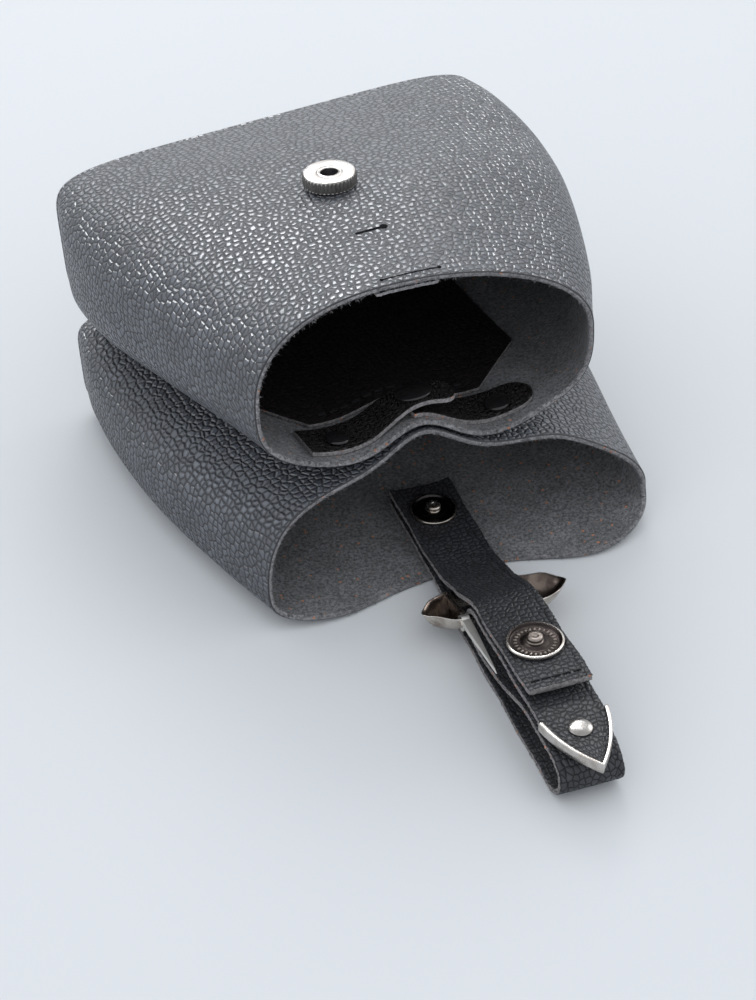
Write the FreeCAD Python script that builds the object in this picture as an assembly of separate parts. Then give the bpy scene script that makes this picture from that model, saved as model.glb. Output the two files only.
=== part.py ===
import FreeCAD, Part
import os
from math import cos, sin, pi, degrees, atan2, exp

Vec = FreeCAD.Vector

# ---------------------------------------------------------------- driving sizes, mm
# Two soft leather pouches lie one on the other, the wider one below.  +X is across
# the bag, the mouths face -Y, +Z is up, and the lower pouch rests on z = 0.
HALF_WIDTH = 80.0          # half the width of the base
BAG_DEPTH = 130.0          # base to mouth
BAG_HEIGHT = 88.0          # both pouches at the base
MOUTH_HEIGHT = 109.5       # both pouches at the upper mouth
WALL = 1.8                 # pouch leather
PARTING = 0.8              # air between the two pouches
UPPER_BASE_Y = 77.0        # base of the upper pouch at its widest height
LOWER_BASE_Y = 61.5
UPPER_SLACK = 6.0          # the upper pouch is drawn out this much longer
REST_TRIM = 1.0            # how far the belly is flattened on the ground
BASE_SPLIT = 37.0          # height of the parting at the base
MOUTH_SPLIT = 47.0         # height of the parting at the mouth
HUMP = 10.0                # rise of the parting where the tabs pinch it
HUMP_X = -7.0
HUMP_SPREAD = 15.0
SIDE_HUMP = 3.0            # second, smaller rise to the right
SIDE_HUMP_X = 42.0
SIDE_HUMP_SPREAD = 16.0
SPLIT_SLOPE = 0.08         # the parting falls to the right at the mouth

# small clearances
SEAT = 0.3                 # soft piece lying on another
FIT = 0.05                 # pin in its hole, radial
SPLIT_GAP = 0.15           # each side of a bend where two bodies meet

# mouths, the lines from which everything near them is measured
UPPER_LENGTH = BAG_DEPTH + UPPER_SLACK
LOWER_LENGTH = BAG_DEPTH
UPPER_MOUTH_Y = UPPER_BASE_Y - UPPER_LENGTH
LOWER_MOUTH_Y = LOWER_BASE_Y - LOWER_LENGTH

# front snap
SNAP_X = -4.5
SNAP_Y = UPPER_MOUTH_Y + 71.2
SNAP_D = 17.6
SNAP_H = 4.4
SNAP_HOLE_D = 6.0
SNAP_FLUTES = 40
SNAP_FLUTE_R = 0.4
SNAP_SIDE = 2.0            # wall round the magnet
SNAP_LID = 2.2             # metal over the magnet
MAGNET_FLOOR = 0.8         # depth of the magnet under the hole
WASHER_T = 0.5

# slit in the front
SLIT_X = -4.8
SLIT_Y = UPPER_MOUTH_Y + 37.2
SLIT_LENGTH = 9.5
SLIT_WIDTH = 0.9
SLIT_HOLE_D = 2.4

# tabs inside the upper mouth
TAB_T = 1.8
TAB_FRONT_Y = UPPER_MOUTH_Y
TAB_BACK_Y = TAB_FRONT_Y + 15.0
LEFT_TAB_X = (-43.0, 8.5)
RIGHT_TAB_X = (-8.0, 36.5)
TAB_BEND_X = -20.0
LEFT_RIVET = (-32.0, TAB_FRONT_Y + 6.0)
RIGHT_RIVET = (24.0, TAB_FRONT_Y + 5.5)
RIVET_HEAD_D = 8.4
RIVET_HEAD_H = 1.7
RIVET_POST_D = 3.2
TAB_CAP_X = -5.0
TAB_CAP_Y = TAB_FRONT_Y + 7.5
TAB_CAP_D = 12.4
TAB_CAP_H = 1.9

# strap
STRAP_W = 21.0
STRAP_T = 2.2
STRAP_X = 5.5              # where the root stud sits
STRAP_Y = LOWER_MOUTH_Y + 22.5
STRAP_SKEW = 5.0           # degrees, the strap leans to -X as it leaves the bag
LOOP_BEND_U = 28.0         # bend outside the lower mouth, from the root stud
FLAP_BEND_U = 66.0         # bend over the buckle bar
FLAP_END_U = 106.5
STUD_D = 15.6
STUD_H = 1.2
FLAP_SNAP_U = 86.5
FLAP_SNAP_D = 18.0
FLAP_SNAP_H = 1.4
FLAP_WASHER_D = 8.0
FLAP_WASHER_T = 0.4
NUB_D = 5.2
NUB_H = 3.0
NUB_NECK = 0.5             # depth of the groove under the nub's head
STUD_RIM = 0.9             # width of the stud's raised rim
STUD_FLOOR = 0.6           # metal under the stud's dish
STUD_LIFT = 0.2            # stud over the leather
POST_D = 3.0

# buckle
BAR_U = 59.4
BAR_Z = 12.0
BAR_D = 3.0
BUCKLE_V = 1.5             # the frame sits a little to the right of the strap
BUCKLE_HALF = STRAP_W / 2 + 13.1    # wing point from the strap's middle
BUCKLE_FAR_U = 39.5
BUCKLE_H = 4.6
BUCKLE_WALL = 1.1
BUCKLE_DROP = 0.4          # the frame's middle below the bar
BUCKLE_TILT = 16.0         # degrees, the bar side stands higher
BUCKLE_FAR_BAR = 6.0       # depth of the frame's far side before the way through
BUCKLE_CHEEK = 1.2         # metal each side of the way through
WAY_CLEAR = 0.8            # air each side of the strap in the way through
BAR_RIGHT_SEAT = 2.8       # the bar runs this far past the strap on the right
PRONG_L = 27.0
PRONG_W = 2.6
PRONG_V = -(STRAP_W + PRONG_W) / 2 - 0.4
PRONG_EYE = 1.1            # wall of the prong's eye round the bar

# metal strap end
TIP_START_U = 116.5
TIP_END_U = 139.5
TIP_WALL = 0.9
TIP_H = STRAP_T + 2.2
TIP_LIP = 1.5
TIP_RIVET_U = 122.0
TIP_RIVET_D = 7.6
TIP_RIVET_H = 1.3

# ---------------------------------------------------------------- pouch sections
# Stations run from the base (0) to the mouth (1) and a little beyond it.  Each row
# holds one quantity of the cross-section at those stations.
STATIONS = [0.0, 0.12, 0.32, 0.56, 0.8, 1.0, 1.12]
UPPER = {
    "left": [0.955, 1.0, 1.0, 0.925, 0.835, 0.775, 0.75],
    "right": [1.025, 1.075, 1.10, 0.995, 0.825, 0.685, 0.62],
    "wide": [64.0, 65.0, 67.0, 71.0, 75.0, 77.0, 78.0],
    "top": [0.0, 0.21, 0.53, 0.77, 0.93, 1.0, 1.02],
    "tilt": [-0.02, -0.02, 0.0, 0.0, 0.02, 0.07, 0.07],
    "n_left": [6.0, 4.2, 3.1, 2.7, 2.5, 2.4, 2.4],
    "n_right": [6.0, 4.2, 3.0, 2.6, 2.2, 2.0, 2.0],
    "n_low": [6.0, 5.0, 4.0, 3.3, 3.0, 2.8, 2.8],
    "along": [0.0, 0.118, 0.324, 0.581, 0.824, 1.0, 1.115],
    "lean": [0.24, 0.23, 0.21, 0.19, 0.17, 0.15, 0.14],
}
LOWER = {
    "left": [0.955, 0.99, 1.0, 0.965, 0.875, 0.785, 0.73],
    "right": [0.975, 1.035, 1.06, 1.02, 0.96, 0.905, 0.88],
    "wide": [20.0, 19.0, 17.0, 15.0, 13.0, 12.0, 12.0],
    "n_left": [6.0, 4.5, 3.2, 2.8, 2.7, 2.8, 2.8],
    "n_right": [6.0, 4.5, 3.2, 2.6, 2.2, 2.0, 2.0],
    "n_low": [6.0, 5.0, 4.5, 4.0, 3.6, 3.4, 3.4],
    "along": [0.0, 0.115, 0.300, 0.546, 0.800, 1.0, 1.12],
    "lean": [0.22, 0.21, 0.20, 0.18, 0.15, 0.13, 0.12],
}
UPPER_LEVEL = 77.0         # height at which the upper stations are placed
LOWER_LEVEL = 12.0
PARTING_BASE_Y = 68.0
LOBE_RIGHT = (12.0, 50.0, 25.0)    # reach, x and spread of the lower lip's lobes
LOBE_LEFT = (5.0, -42.0, 20.0)
LIP_TOP = 6.0              # the lobes belong to the lip below this height

SECTION_POINTS = 44
DENSE = 720


def station(row, t):
    """Value of a row at station t: cubic through the stations, slopes from neighbours."""
    last = len(STATIONS) - 1
    k = max(i for i in range(last) if STATIONS[i] <= max(t, 0.0))

    def slope(i):
        a, b = max(i - 1, 0), min(i + 1, last)
        return (row[b] - row[a]) / (STATIONS[b] - STATIONS[a])

    h = STATIONS[k + 1] - STATIONS[k]
    u = (t - STATIONS[k]) / h
    rise = (3 * u * u - 2 * u ** 3) * (row[k + 1] - row[k])
    bend = (u ** 3 - 2 * u * u + u) * slope(k) + (u ** 3 - u * u) * slope(k + 1)
    return row[k] + rise + h * bend


def parting(x, y):
    """Height of the middle of the parting between the two pouches."""
    s = min(max((PARTING_BASE_Y - y) / BAG_DEPTH, 0.0), 1.15)
    hump = HUMP * exp(-((x - HUMP_X) / HUMP_SPREAD) ** 2)
    side = SIDE_HUMP * exp(-((x - SIDE_HUMP_X) / SIDE_HUMP_SPREAD) ** 2)
    ramp = BASE_SPLIT + s * (MOUTH_SPLIT - SPLIT_SLOPE * x - BASE_SPLIT)
    return ramp + s ** 2.5 * (hump + side)


def upper_plane(t):
    """Place of the section's middle along Y and its lean, for the upper pouch."""
    y = UPPER_BASE_Y - UPPER_LENGTH * station(UPPER["along"], t)
    return y, station(UPPER["lean"], t), UPPER_LEVEL


def lower_plane(t):
    y = LOWER_BASE_Y - LOWER_LENGTH * station(LOWER["along"], t)
    return y, station(LOWER["lean"], t), LOWER_LEVEL


def upper_height(x, t, side, inset):
    """Upper pouch: height of the roof (side 1) or floor (side -1) above x."""
    left = -HALF_WIDTH * station(UPPER["left"], t) + inset
    right = HALF_WIDTH * station(UPPER["right"], t) - inset
    mid, half = (left + right) / 2, (right - left) / 2
    wide = station(UPPER["wide"], t)
    y, lean, level = upper_plane(t)
    split_y = y + lean * (MOUTH_SPLIT - level)
    if side > 0:
        n = station(UPPER["n_right"] if x >= mid else UPPER["n_left"], t)
        top = BAG_HEIGHT + station(UPPER["top"], t) * (MOUTH_HEIGHT - BAG_HEIGHT)
        reach = top - station(UPPER["tilt"], t) * (x - mid) - inset - wide
    else:
        n = station(UPPER["n_low"], t)
        reach = parting(x, split_y) + PARTING / 2 + inset - wide
    share = min(abs(x - mid) / half, 1.0)
    return wide + reach * (1 - share ** n) ** (1 / n)


def lower_height(x, t, side, inset):
    left = -HALF_WIDTH * station(LOWER["left"], t) + inset
    right = HALF_WIDTH * station(LOWER["right"], t) - inset
    mid, half = (left + right) / 2, (right - left) / 2
    wide = station(LOWER["wide"], t)
    y, lean, level = lower_plane(t)
    split_y = y + lean * (MOUTH_SPLIT - level)
    if side > 0:
        n = station(LOWER["n_right"] if x >= mid else LOWER["n_left"], t)
        reach = parting(x, split_y) - PARTING / 2 - inset - wide
    else:
        n = station(LOWER["n_low"], t)
        floor = inset if inset > 0 else -REST_TRIM
        reach = floor - wide
    share = min(abs(x - mid) / half, 1.0)
    return wide + reach * (1 - share ** n) ** (1 / n)


def section(sizes, plane, height, t, inset):
    """Closed spline through the cross-section at t, points evenly spaced round it."""
    left = -HALF_WIDTH * station(sizes["left"], t) + inset
    right = HALF_WIDTH * station(sizes["right"], t) - inset
    y, lean, level = plane(t)
    dense = []
    for i in range(DENSE):
        a = 2 * pi * i / DENSE
        n = station(sizes["n_low"], t)
        if sin(a) >= 0:
            n = station(sizes["n_right"] if cos(a) >= 0 else sizes["n_left"], t)
        reach = abs(cos(a)) ** (2 / n) * (1 if cos(a) >= 0 else -1)
        x = (left + right) / 2 + (right - left) / 2 * reach
        z = height(x, t, 1 if sin(a) >= 0 else -1, inset)
        dense.append(Vec(x, y + lean * (z - level), z))
    walked = [0.0]
    for i in range(DENSE):
        walked.append(walked[-1] + dense[i].distanceToPoint(dense[(i + 1) % DENSE]))
    points = []
    k = 0
    for i in range(SECTION_POINTS):
        goal = walked[-1] * i / SECTION_POINTS
        while walked[k + 1] < goal:
            k += 1
        part = (goal - walked[k]) / (walked[k + 1] - walked[k])
        points.append(dense[k] + (dense[(k + 1) % DENSE] - dense[k]) * part)
    curve = Part.BSplineCurve()
    steps = [float(i) for i in range(SECTION_POINTS + 1)]
    curve.interpolate(Points=points, PeriodicFlag=True, Parameters=steps)
    return Part.Wire([curve.toShape()])


def upper_section(t, inset):
    return section(UPPER, upper_plane, upper_height, t, inset)


def lower_section(t, inset):
    return section(LOWER, lower_plane, lower_height, t, inset)


def tube(make_section, end):
    """Leather tube from the base to station end: outer loft less inner loft."""
    marks = [t for t in STATIONS if t < end] + [end]
    outer = Part.makeLoft([make_section(t, 0.0) for t in marks], True, False)
    inner_marks = [-0.02] + marks[1:-1] + [end + 0.02]
    inner = Part.makeLoft([make_section(t, WALL) for t in inner_marks], True, False)
    return outer.cut(inner)


def base_panel(make_section, plane):
    """Flat panel that closes the base, face to face with the tube's end."""
    face = Part.Face(make_section(0.0, 0.0))
    lean = plane(0.0)[1]
    out = Vec(0, 1, -lean)
    out.normalize()
    return face.extrude(out * WALL)


def above_ground(shape):
    big = 4 * HALF_WIDTH
    return shape.cut(Part.makeBox(2 * big, 2 * big, big, Vec(-big, -big, -big)))


def station_at(plane, y, z):
    """Station whose leaning plane passes through (y, z)."""
    low, high = -0.05, 1.15
    for _ in range(40):
        t = (low + high) / 2
        middle, lean, level = plane(t)
        if middle + lean * (z - level) > y:
            low = t
        else:
            high = t
    return (low + high) / 2


def upper_floor(x, y, inset=WALL):
    z = MOUTH_SPLIT
    for _ in range(6):
        z = upper_height(x, station_at(upper_plane, y, z), -1, inset)
    return z


def upper_roof(x, y, inset=0.0):
    z = MOUTH_HEIGHT
    for _ in range(6):
        z = upper_height(x, station_at(upper_plane, y, z), 1, inset)
    return z


def lower_roof(x, y, inset=0.0):
    z = MOUTH_SPLIT
    for _ in range(6):
        z = lower_height(x, station_at(lower_plane, y, z), 1, inset)
    return z


def tilted(shape, point, normal):
    """Move a shape made about the origin's +Z to a point and a normal."""
    turn = FreeCAD.Rotation(Vec(0, 0, 1), normal)
    moved = shape.copy()
    moved.Placement = FreeCAD.Placement(point, turn)
    return moved


def normal_at(height, x, y):
    step = 2.0
    dx = (height(x + step, y) - height(x - step, y)) / (2 * step)
    dy = (height(x, y + step) - height(x, y - step)) / (2 * step)
    up = Vec(-dx, -dy, 1)
    up.normalize()
    return up


def clearance_over(height, x, y, radius):
    """How far the surface near (x, y) rises above its tangent plane within radius."""
    up = normal_at(height, x, y)
    here = Vec(x, y, height(x, y))
    worst = 0.0
    for i in range(12):
        a = pi * i / 6
        px, py = x + radius * cos(a), y + radius * sin(a)
        worst = max(worst, (Vec(px, py, height(px, py)) - here).dot(up))
    return worst


# ---------------------------------------------------------------- pouches
def lower_lip(shape):
    """Trim the lower tube's mouth: a leaning plane above, a two-lobed lip below."""
    y, lean, level = lower_plane(1.0)
    big = 3 * HALF_WIDTH
    upper_cut = Part.makeBox(2 * big, big, big, Vec(-big, -big, 0))
    tilt = degrees(atan2(lean, 1.0))
    upper_cut.rotate(Vec(0, 0, 0), Vec(1, 0, 0), -tilt)
    upper_cut.translate(Vec(0, y + lean * (LIP_TOP - level), LIP_TOP))
    edge_y = y + lean * (LIP_TOP - level)
    below = -2 * WALL
    lip = []
    count = 24
    for i in range(count + 1):
        x = -1.2 * HALF_WIDTH + 2.4 * HALF_WIDTH * i / count
        right = LOBE_RIGHT[0] * exp(-((x - LOBE_RIGHT[1]) / LOBE_RIGHT[2]) ** 2)
        left = LOBE_LEFT[0] * exp(-((x - LOBE_LEFT[1]) / LOBE_LEFT[2]) ** 2)
        lip.append(Vec(x, edge_y - right - left, below))
    curve = Part.BSplineCurve()
    curve.interpolate(lip)
    far_right = Vec(lip[-1].x, -big, below)
    far_left = Vec(lip[0].x, -big, below)
    sides = [Part.makeLine(far_left, far_right), Part.makeLine(far_right, lip[-1])]
    lip_edge = curve.toShape().reversed()
    outline = Part.Wire(sides + [lip_edge, Part.makeLine(lip[0], far_left)])
    lower_cut = Part.Face(outline).extrude(Vec(0, 0, LIP_TOP - below))
    return shape.cut(upper_cut).cut(lower_cut)


def snap_frame():
    """Point under the front snap's middle, and the leather's normal there."""
    up = normal_at(upper_roof, SNAP_X, SNAP_Y)
    rise = clearance_over(upper_roof, SNAP_X, SNAP_Y, SNAP_D / 2)
    return Vec(SNAP_X, SNAP_Y, upper_roof(SNAP_X, SNAP_Y)) + up * (rise + SEAT), up


def tab_top(x, y):
    """Top of a tab that lies on the upper pouch's floor."""
    return upper_floor(x, y) + SEAT + TAB_T


def post_cutter(x, y, diameter):
    return Part.makeCylinder(diameter / 2 + FIT, MOUTH_HEIGHT - 40, Vec(x, y, 30))


def upper_pouch():
    shell = tube(upper_section, 1.0)
    for x, y in (LEFT_RIVET, RIGHT_RIVET):
        shell = shell.cut(post_cutter(x, y, RIVET_POST_D))
    point, up = snap_frame()
    shell = shell.cut(tilted(Part.makeCylinder(POST_D / 2 + FIT, 20, Vec(0, 0, -10)), point, up))
    z = upper_roof(SLIT_X, SLIT_Y)
    slit = Part.makeBox(SLIT_LENGTH, SLIT_WIDTH, 12,
                        Vec(SLIT_X - SLIT_LENGTH / 2, SLIT_Y - SLIT_WIDTH / 2, z - 6))
    hole = Part.makeCylinder(SLIT_HOLE_D / 2, 12, Vec(SLIT_X + SLIT_LENGTH / 2, SLIT_Y, z - 6))
    return shell.cut(slit.fuse(hole))


def lower_pouch():
    shell = above_ground(lower_lip(tube(lower_section, 1.12)))
    for x, y in (LEFT_RIVET, RIGHT_RIVET):
        shell = shell.cut(post_cutter(x, y, RIVET_POST_D))
    stud = Part.makeCylinder(POST_D / 2 + FIT, 2 * WALL + 2, Vec(STRAP_X, STRAP_Y, -1))
    return shell.cut(stud)


def floor_strip(x0, x1, y_marks, lift, thick, pieces):
    """Strip of leather on the upper pouch's floor; lift(x) is its height above it."""
    loops = []
    up = Vec(0, 0, thick)
    for i in range(pieces + 1):
        x = x0 + (x1 - x0) * i / pieces
        low = [Vec(x, y, upper_floor(x, y) + lift(x)) for y in y_marks]
        top = [point + up for point in reversed(low)]
        loops.append(Part.makePolygon(low + top + [low[0]]))
    return Part.makeLoft(loops, True, True)


def marks_between(y0, y1, pieces):
    return [y0 + (y1 - y0) * i / pieces for i in range(pieces + 1)]


def slot_outline(x0, x1, y0, y1, round_left, round_right):
    """Tall prism over a tab's outline, each end round or square."""
    radius = (y1 - y0) / 2
    middle = (y0 + y1) / 2
    tall = MOUTH_HEIGHT
    left = x0 + radius if round_left else x0
    right = x1 - radius if round_right else x1
    shape = Part.makeBox(right - left, y1 - y0, tall, Vec(left, y0, 0))
    if round_left:
        shape = shape.fuse(Part.makeCylinder(radius, tall, Vec(left, middle, 0)))
    if round_right:
        shape = shape.fuse(Part.makeCylinder(radius, tall, Vec(right, middle, 0)))
    return shape


def smooth_step(x, start, end):
    u = min(max((x - start) / (end - start), 0.0), 1.0)
    return u * u * (3 - 2 * u)


def left_lift(x):
    return SEAT + (SEAT + TAB_T + 0.6) * smooth_step(x, TAB_BEND_X - 4, RIGHT_TAB_X[0] - 1)


def left_tab():
    x0, x1 = LEFT_TAB_X
    marks = marks_between(TAB_FRONT_Y, TAB_BACK_Y, 3)
    strip = floor_strip(x0 - 2, x1 + 2, marks, left_lift, TAB_T, 20)
    tab = strip.common(slot_outline(x0, x1, TAB_FRONT_Y, TAB_BACK_Y, False, True))
    tab = tab.cut(post_cutter(LEFT_RIVET[0], LEFT_RIVET[1], RIVET_POST_D))
    return tab.cut(post_cutter(TAB_CAP_X, TAB_CAP_Y, POST_D))


def right_tab():
    x0, x1 = RIGHT_TAB_X
    marks = marks_between(TAB_FRONT_Y, TAB_BACK_Y, 3)
    strip = floor_strip(x0, x1 + 2, marks, lambda x: SEAT, TAB_T, 18)
    tab = strip.common(slot_outline(x0, x1, TAB_FRONT_Y, TAB_BACK_Y, False, True))
    return tab.cut(post_cutter(RIGHT_RIVET[0], RIGHT_RIVET[1], RIVET_POST_D))


def dome(diameter, height):
    """Low domed head, flat below."""
    radius = diameter / 2
    ball = (radius * radius + height * height) / (2 * height)
    head = Part.makeSphere(ball, Vec(0, 0, height - ball))
    return head.common(Part.makeCylinder(radius, height, Vec(0, 0, 0)))


def tab_rivet(x, y):
    """Head on the tab, post through both pouches, washer under the lower one's roof."""
    head_h = tab_surface_clear(x, y, RIVET_HEAD_D / 2)
    washer_low = lower_roof_clear(x, y, RIVET_HEAD_D / 2)
    head = dome(RIVET_HEAD_D, RIVET_HEAD_H)
    head.translate(Vec(x, y, head_h))
    post = Part.makeCylinder(RIVET_POST_D / 2, head_h - washer_low, Vec(x, y, washer_low))
    washer = Part.makeCylinder(RIVET_HEAD_D / 2, WASHER_T, Vec(x, y, washer_low - WASHER_T))
    return head.fuse([post, washer]).removeSplitter()


def ring_points(x, y, radius):
    return [(x + radius * cos(pi * i / 8), y + radius * sin(pi * i / 8)) for i in range(16)]


def tab_surface_clear(x, y, radius):
    """Height just above everything within radius on top of the tab."""
    return max(tab_top(px, py) for px, py in ring_points(x, y, radius)) + 3 * FIT


def lower_roof_clear(x, y, radius):
    """Height just below the inside of the lower pouch's roof within radius."""
    return min(lower_roof(px, py, WALL) for px, py in ring_points(x, y, radius)) - 3 * FIT


def tab_cap():
    """Snap cap on the free end of the left tab, with its short post."""
    top = max(upper_floor(px, py) + left_lift(px) + TAB_T
              for px, py in ring_points(TAB_CAP_X, TAB_CAP_Y, TAB_CAP_D / 2)) + 3 * FIT
    head = dome(TAB_CAP_D, TAB_CAP_H)
    head.translate(Vec(TAB_CAP_X, TAB_CAP_Y, top))
    foot = upper_floor(TAB_CAP_X, TAB_CAP_Y) + left_lift(TAB_CAP_X)
    post = Part.makeCylinder(POST_D / 2, top - foot, Vec(TAB_CAP_X, TAB_CAP_Y, foot))
    return head.fuse(post).removeSplitter()


# ---------------------------------------------------------------- inner pieces of the upper pouch
POCKET_X = (-52.0, 46.0)
POCKET_FRONT_X = (-36.0, 24.0)
POCKET_Y = (UPPER_MOUTH_Y + 18.5, UPPER_BASE_Y - 33.0)
POCKET_SPLAY = 19.0        # depth of the slanting front corners
POCKET_T = 1.2
PATCH_X = (-19.0, 2.0)
PATCH_DEPTH = 9.0
PATCH_T = 1.2


def pocket_panel():
    """Slip pocket lying on the parting behind the tabs, its front corners cut on a slant."""
    marks = marks_between(POCKET_Y[0], POCKET_Y[1], 8)
    strip = floor_strip(POCKET_X[0], POCKET_X[1], marks, lambda x: SEAT, POCKET_T, 28)
    wide = POCKET_Y[0] + POCKET_SPLAY
    corners = [(POCKET_FRONT_X[0], POCKET_Y[0]), (POCKET_FRONT_X[1], POCKET_Y[0]),
               (POCKET_X[1], wide), (POCKET_X[1], POCKET_Y[1]),
               (POCKET_X[0], POCKET_Y[1]), (POCKET_X[0], wide)]
    outline = Part.makePolygon([Vec(x, y, 0) for x, y in corners + corners[:1]])
    return strip.common(Part.Face(outline).extrude(Vec(0, 0, MOUTH_HEIGHT)))


def roof_strip(x0, x1, y0, y1, thick, pieces):
    """Strip of leather hung just under the upper pouch's roof."""
    loops = []
    for i in range(pieces + 1):
        x = x0 + (x1 - x0) * i / pieces
        top0 = Vec(x, y0, upper_roof(x, y0, WALL) - SEAT)
        top1 = Vec(x, y1, upper_roof(x, y1, WALL) - SEAT)
        down = Vec(0, 0, -thick)
        loops.append(Part.makePolygon([top0, top1, top1 + down, top0 + down, top0]))
    return Part.makeLoft(loops, True, False)


def mouth_patch():
    y, lean, level = upper_plane(1.0)
    edge = y + lean * (MOUTH_HEIGHT - level)
    return roof_strip(PATCH_X[0], PATCH_X[1], edge + 0.4, edge + PATCH_DEPTH, PATCH_T, 6)


def stitch_row(points, length, width, height):
    """Row of short thread stitches, each a small rounded bar along the row."""
    bars = []
    for start, along in points:
        bar = Part.makeBox(length, width, height, Vec(-length / 2, -width / 2, 0))
        turn = FreeCAD.Rotation(Vec(1, 0, 0), along)
        bar.Placement = FreeCAD.Placement(start, turn)
        bars.append(bar)
    return Part.makeCompound(bars)


STITCH_PITCH = 4.0
STITCH_L = 2.6
STITCH_W = 0.7
STITCH_H = 0.5
FLAP_STITCHES = 5
FLAP_STITCH_PITCH = 3.4
FLAP_STITCH_L = 2.3
FLAP_STITCH_INSET = 3.5    # row of stitches from the flap's end


def pocket_stitches():
    y = POCKET_Y[0] + 4.0
    count = int((POCKET_FRONT_X[1] - POCKET_FRONT_X[0] - 8) / STITCH_PITCH)
    points = []
    for i in range(count):
        x = POCKET_FRONT_X[0] + 6 + STITCH_PITCH * i
        z = upper_floor(x, y) + SEAT + POCKET_T + SEAT
        ahead = upper_floor(x + 1, y) - upper_floor(x - 1, y)
        points.append((Vec(x, y, z), Vec(2, 0, ahead)))
    return stitch_row(points, STITCH_L, STITCH_W, STITCH_H)


# ---------------------------------------------------------------- front snap
def snap_housing():
    """Fluted ring with a round hole and a shallow seat for the magnet below."""
    body = Part.makeCylinder(SNAP_D / 2, SNAP_H)
    body = body.cut(Part.makeCylinder(SNAP_HOLE_D / 2, SNAP_H + 2, Vec(0, 0, -1)))
    seat = Part.makeCylinder(SNAP_D / 2 - SNAP_SIDE, SNAP_H, Vec(0, 0, -SNAP_LID))
    body = body.cut(seat)
    flutes = []
    ring = SNAP_D / 2 + 0.4 * SNAP_FLUTE_R
    for i in range(SNAP_FLUTES):
        a = 2 * pi * i / SNAP_FLUTES
        centre = Vec(ring * cos(a), ring * sin(a), SNAP_FLUTE_R)
        flutes.append(Part.makeCylinder(SNAP_FLUTE_R, SNAP_H - 2 * SNAP_FLUTE_R, centre))
    point, up = snap_frame()
    return tilted(body.cut(Part.makeCompound(flutes)), point, up)


def snap_magnet():
    """Ring magnet inside the housing, with its lining against the leather."""
    ring = Part.makeCylinder(SNAP_D / 2 - SNAP_SIDE - FIT, SNAP_H - SNAP_LID - FIT)
    ring = ring.cut(Part.makeCylinder(SNAP_HOLE_D / 2, SNAP_H, Vec(0, 0, MAGNET_FLOOR)))
    point, up = snap_frame()
    return tilted(ring, point, up)


def snap_back():
    """Post through the leather and the washer inside the pouch."""
    point, up = snap_frame()
    depth = WALL + clearance_over(upper_roof, SNAP_X, SNAP_Y, SNAP_D / 2) * 3 + 0.7
    post = Part.makeCylinder(POST_D / 2, depth, Vec(0, 0, -depth))
    washer = Part.makeCylinder(SNAP_D / 2 - SNAP_SIDE, WASHER_T, Vec(0, 0, -depth - WASHER_T))
    return tilted(post.fuse(washer).removeSplitter(), point, up)


# ---------------------------------------------------------------- strap
# Strap pieces are made along +X (u), across +Y (v), up +Z, then turned into place.
ON_GROUND = STRAP_T / 2 + 0.05                   # middle of a strap lying on the ground
ROOT_LOW = WALL + STRAP_T / 2 + 0.4              # loop strap on the lower pouch's leather
ROOT_HIGH = ROOT_LOW + STRAP_T + 0.2             # upper strap on the loop strap
FOLD = BAR_D / 2 + PRONG_EYE + STRAP_T / 2 + 0.4     # strap round the bar and the prong's eye
FOLD_SIDE = BAR_D / 2 + STRAP_T / 2 + 0.2
ON_BAR = BAR_Z + STRAP_T / 2 + 3.0
OVER_BAR = BAR_Z + 1.5 * STRAP_T + 3.0
ROOT_START = -13.5
UPPER_STRAP = [(ROOT_START, ROOT_HIGH + 0.2), (0.0, ROOT_HIGH), (16.0, ROOT_HIGH),
               (28.0, ROOT_HIGH + 0.7), (36.0, OVER_BAR - 9.7), (43.0, OVER_BAR - 6.9),
               (50.0, OVER_BAR - 3.7), (56.0, OVER_BAR - 0.3), (62.0, OVER_BAR + 2.0),
               (70.0, OVER_BAR + 2.6), (80.0, OVER_BAR + 2.9), (94.0, OVER_BAR + 4.1),
               (FLAP_END_U, OVER_BAR + 5.0)]
LOOP_STRAP = [(ROOT_START, ROOT_LOW), (0.0, ROOT_LOW), (14.0, ROOT_LOW), (27.0, ROOT_LOW),
              (36.0, ON_GROUND + 0.75), (46.0, ON_GROUND + 0.05), (60.0, ON_GROUND),
              (90.0, ON_GROUND), (112.0, ON_GROUND + 0.05), (121.0, ON_GROUND + 0.25),
              (128.4, ON_GROUND + 1.85), (131.6, 7.2), (129.8, 11.6), (124.5, 14.0),
              (116.0, 14.6), (106.0, 14.0), (96.0, 11.8), (86.0, 8.6), (76.0, 6.2),
              (66.0, 6.0), (BAR_U, BAR_Z - FOLD), (BAR_U - FOLD_SIDE, BAR_Z),
              (BAR_U, BAR_Z + FOLD), (66.0, ON_BAR + 1.4), (80.0, ON_BAR + 1.7),
              (96.0, ON_BAR + 2.3), (116.0, ON_BAR + 2.5), (TIP_END_U - 1.5, ON_BAR + 2.5)]


def place(shape):
    """Turn a piece made along u, v, z into the bag's frame."""
    turned = shape.copy()
    turn = FreeCAD.Rotation(Vec(0, 0, 1), -90.0 - STRAP_SKEW)
    turned.Placement = FreeCAD.Placement(Vec(STRAP_X, STRAP_Y, 0), turn).multiply(shape.Placement)
    return turned


def strap_curve(points):
    curve = Part.BSplineCurve()
    curve.interpolate([Vec(u, 0, z) for u, z in points])
    return curve


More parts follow.
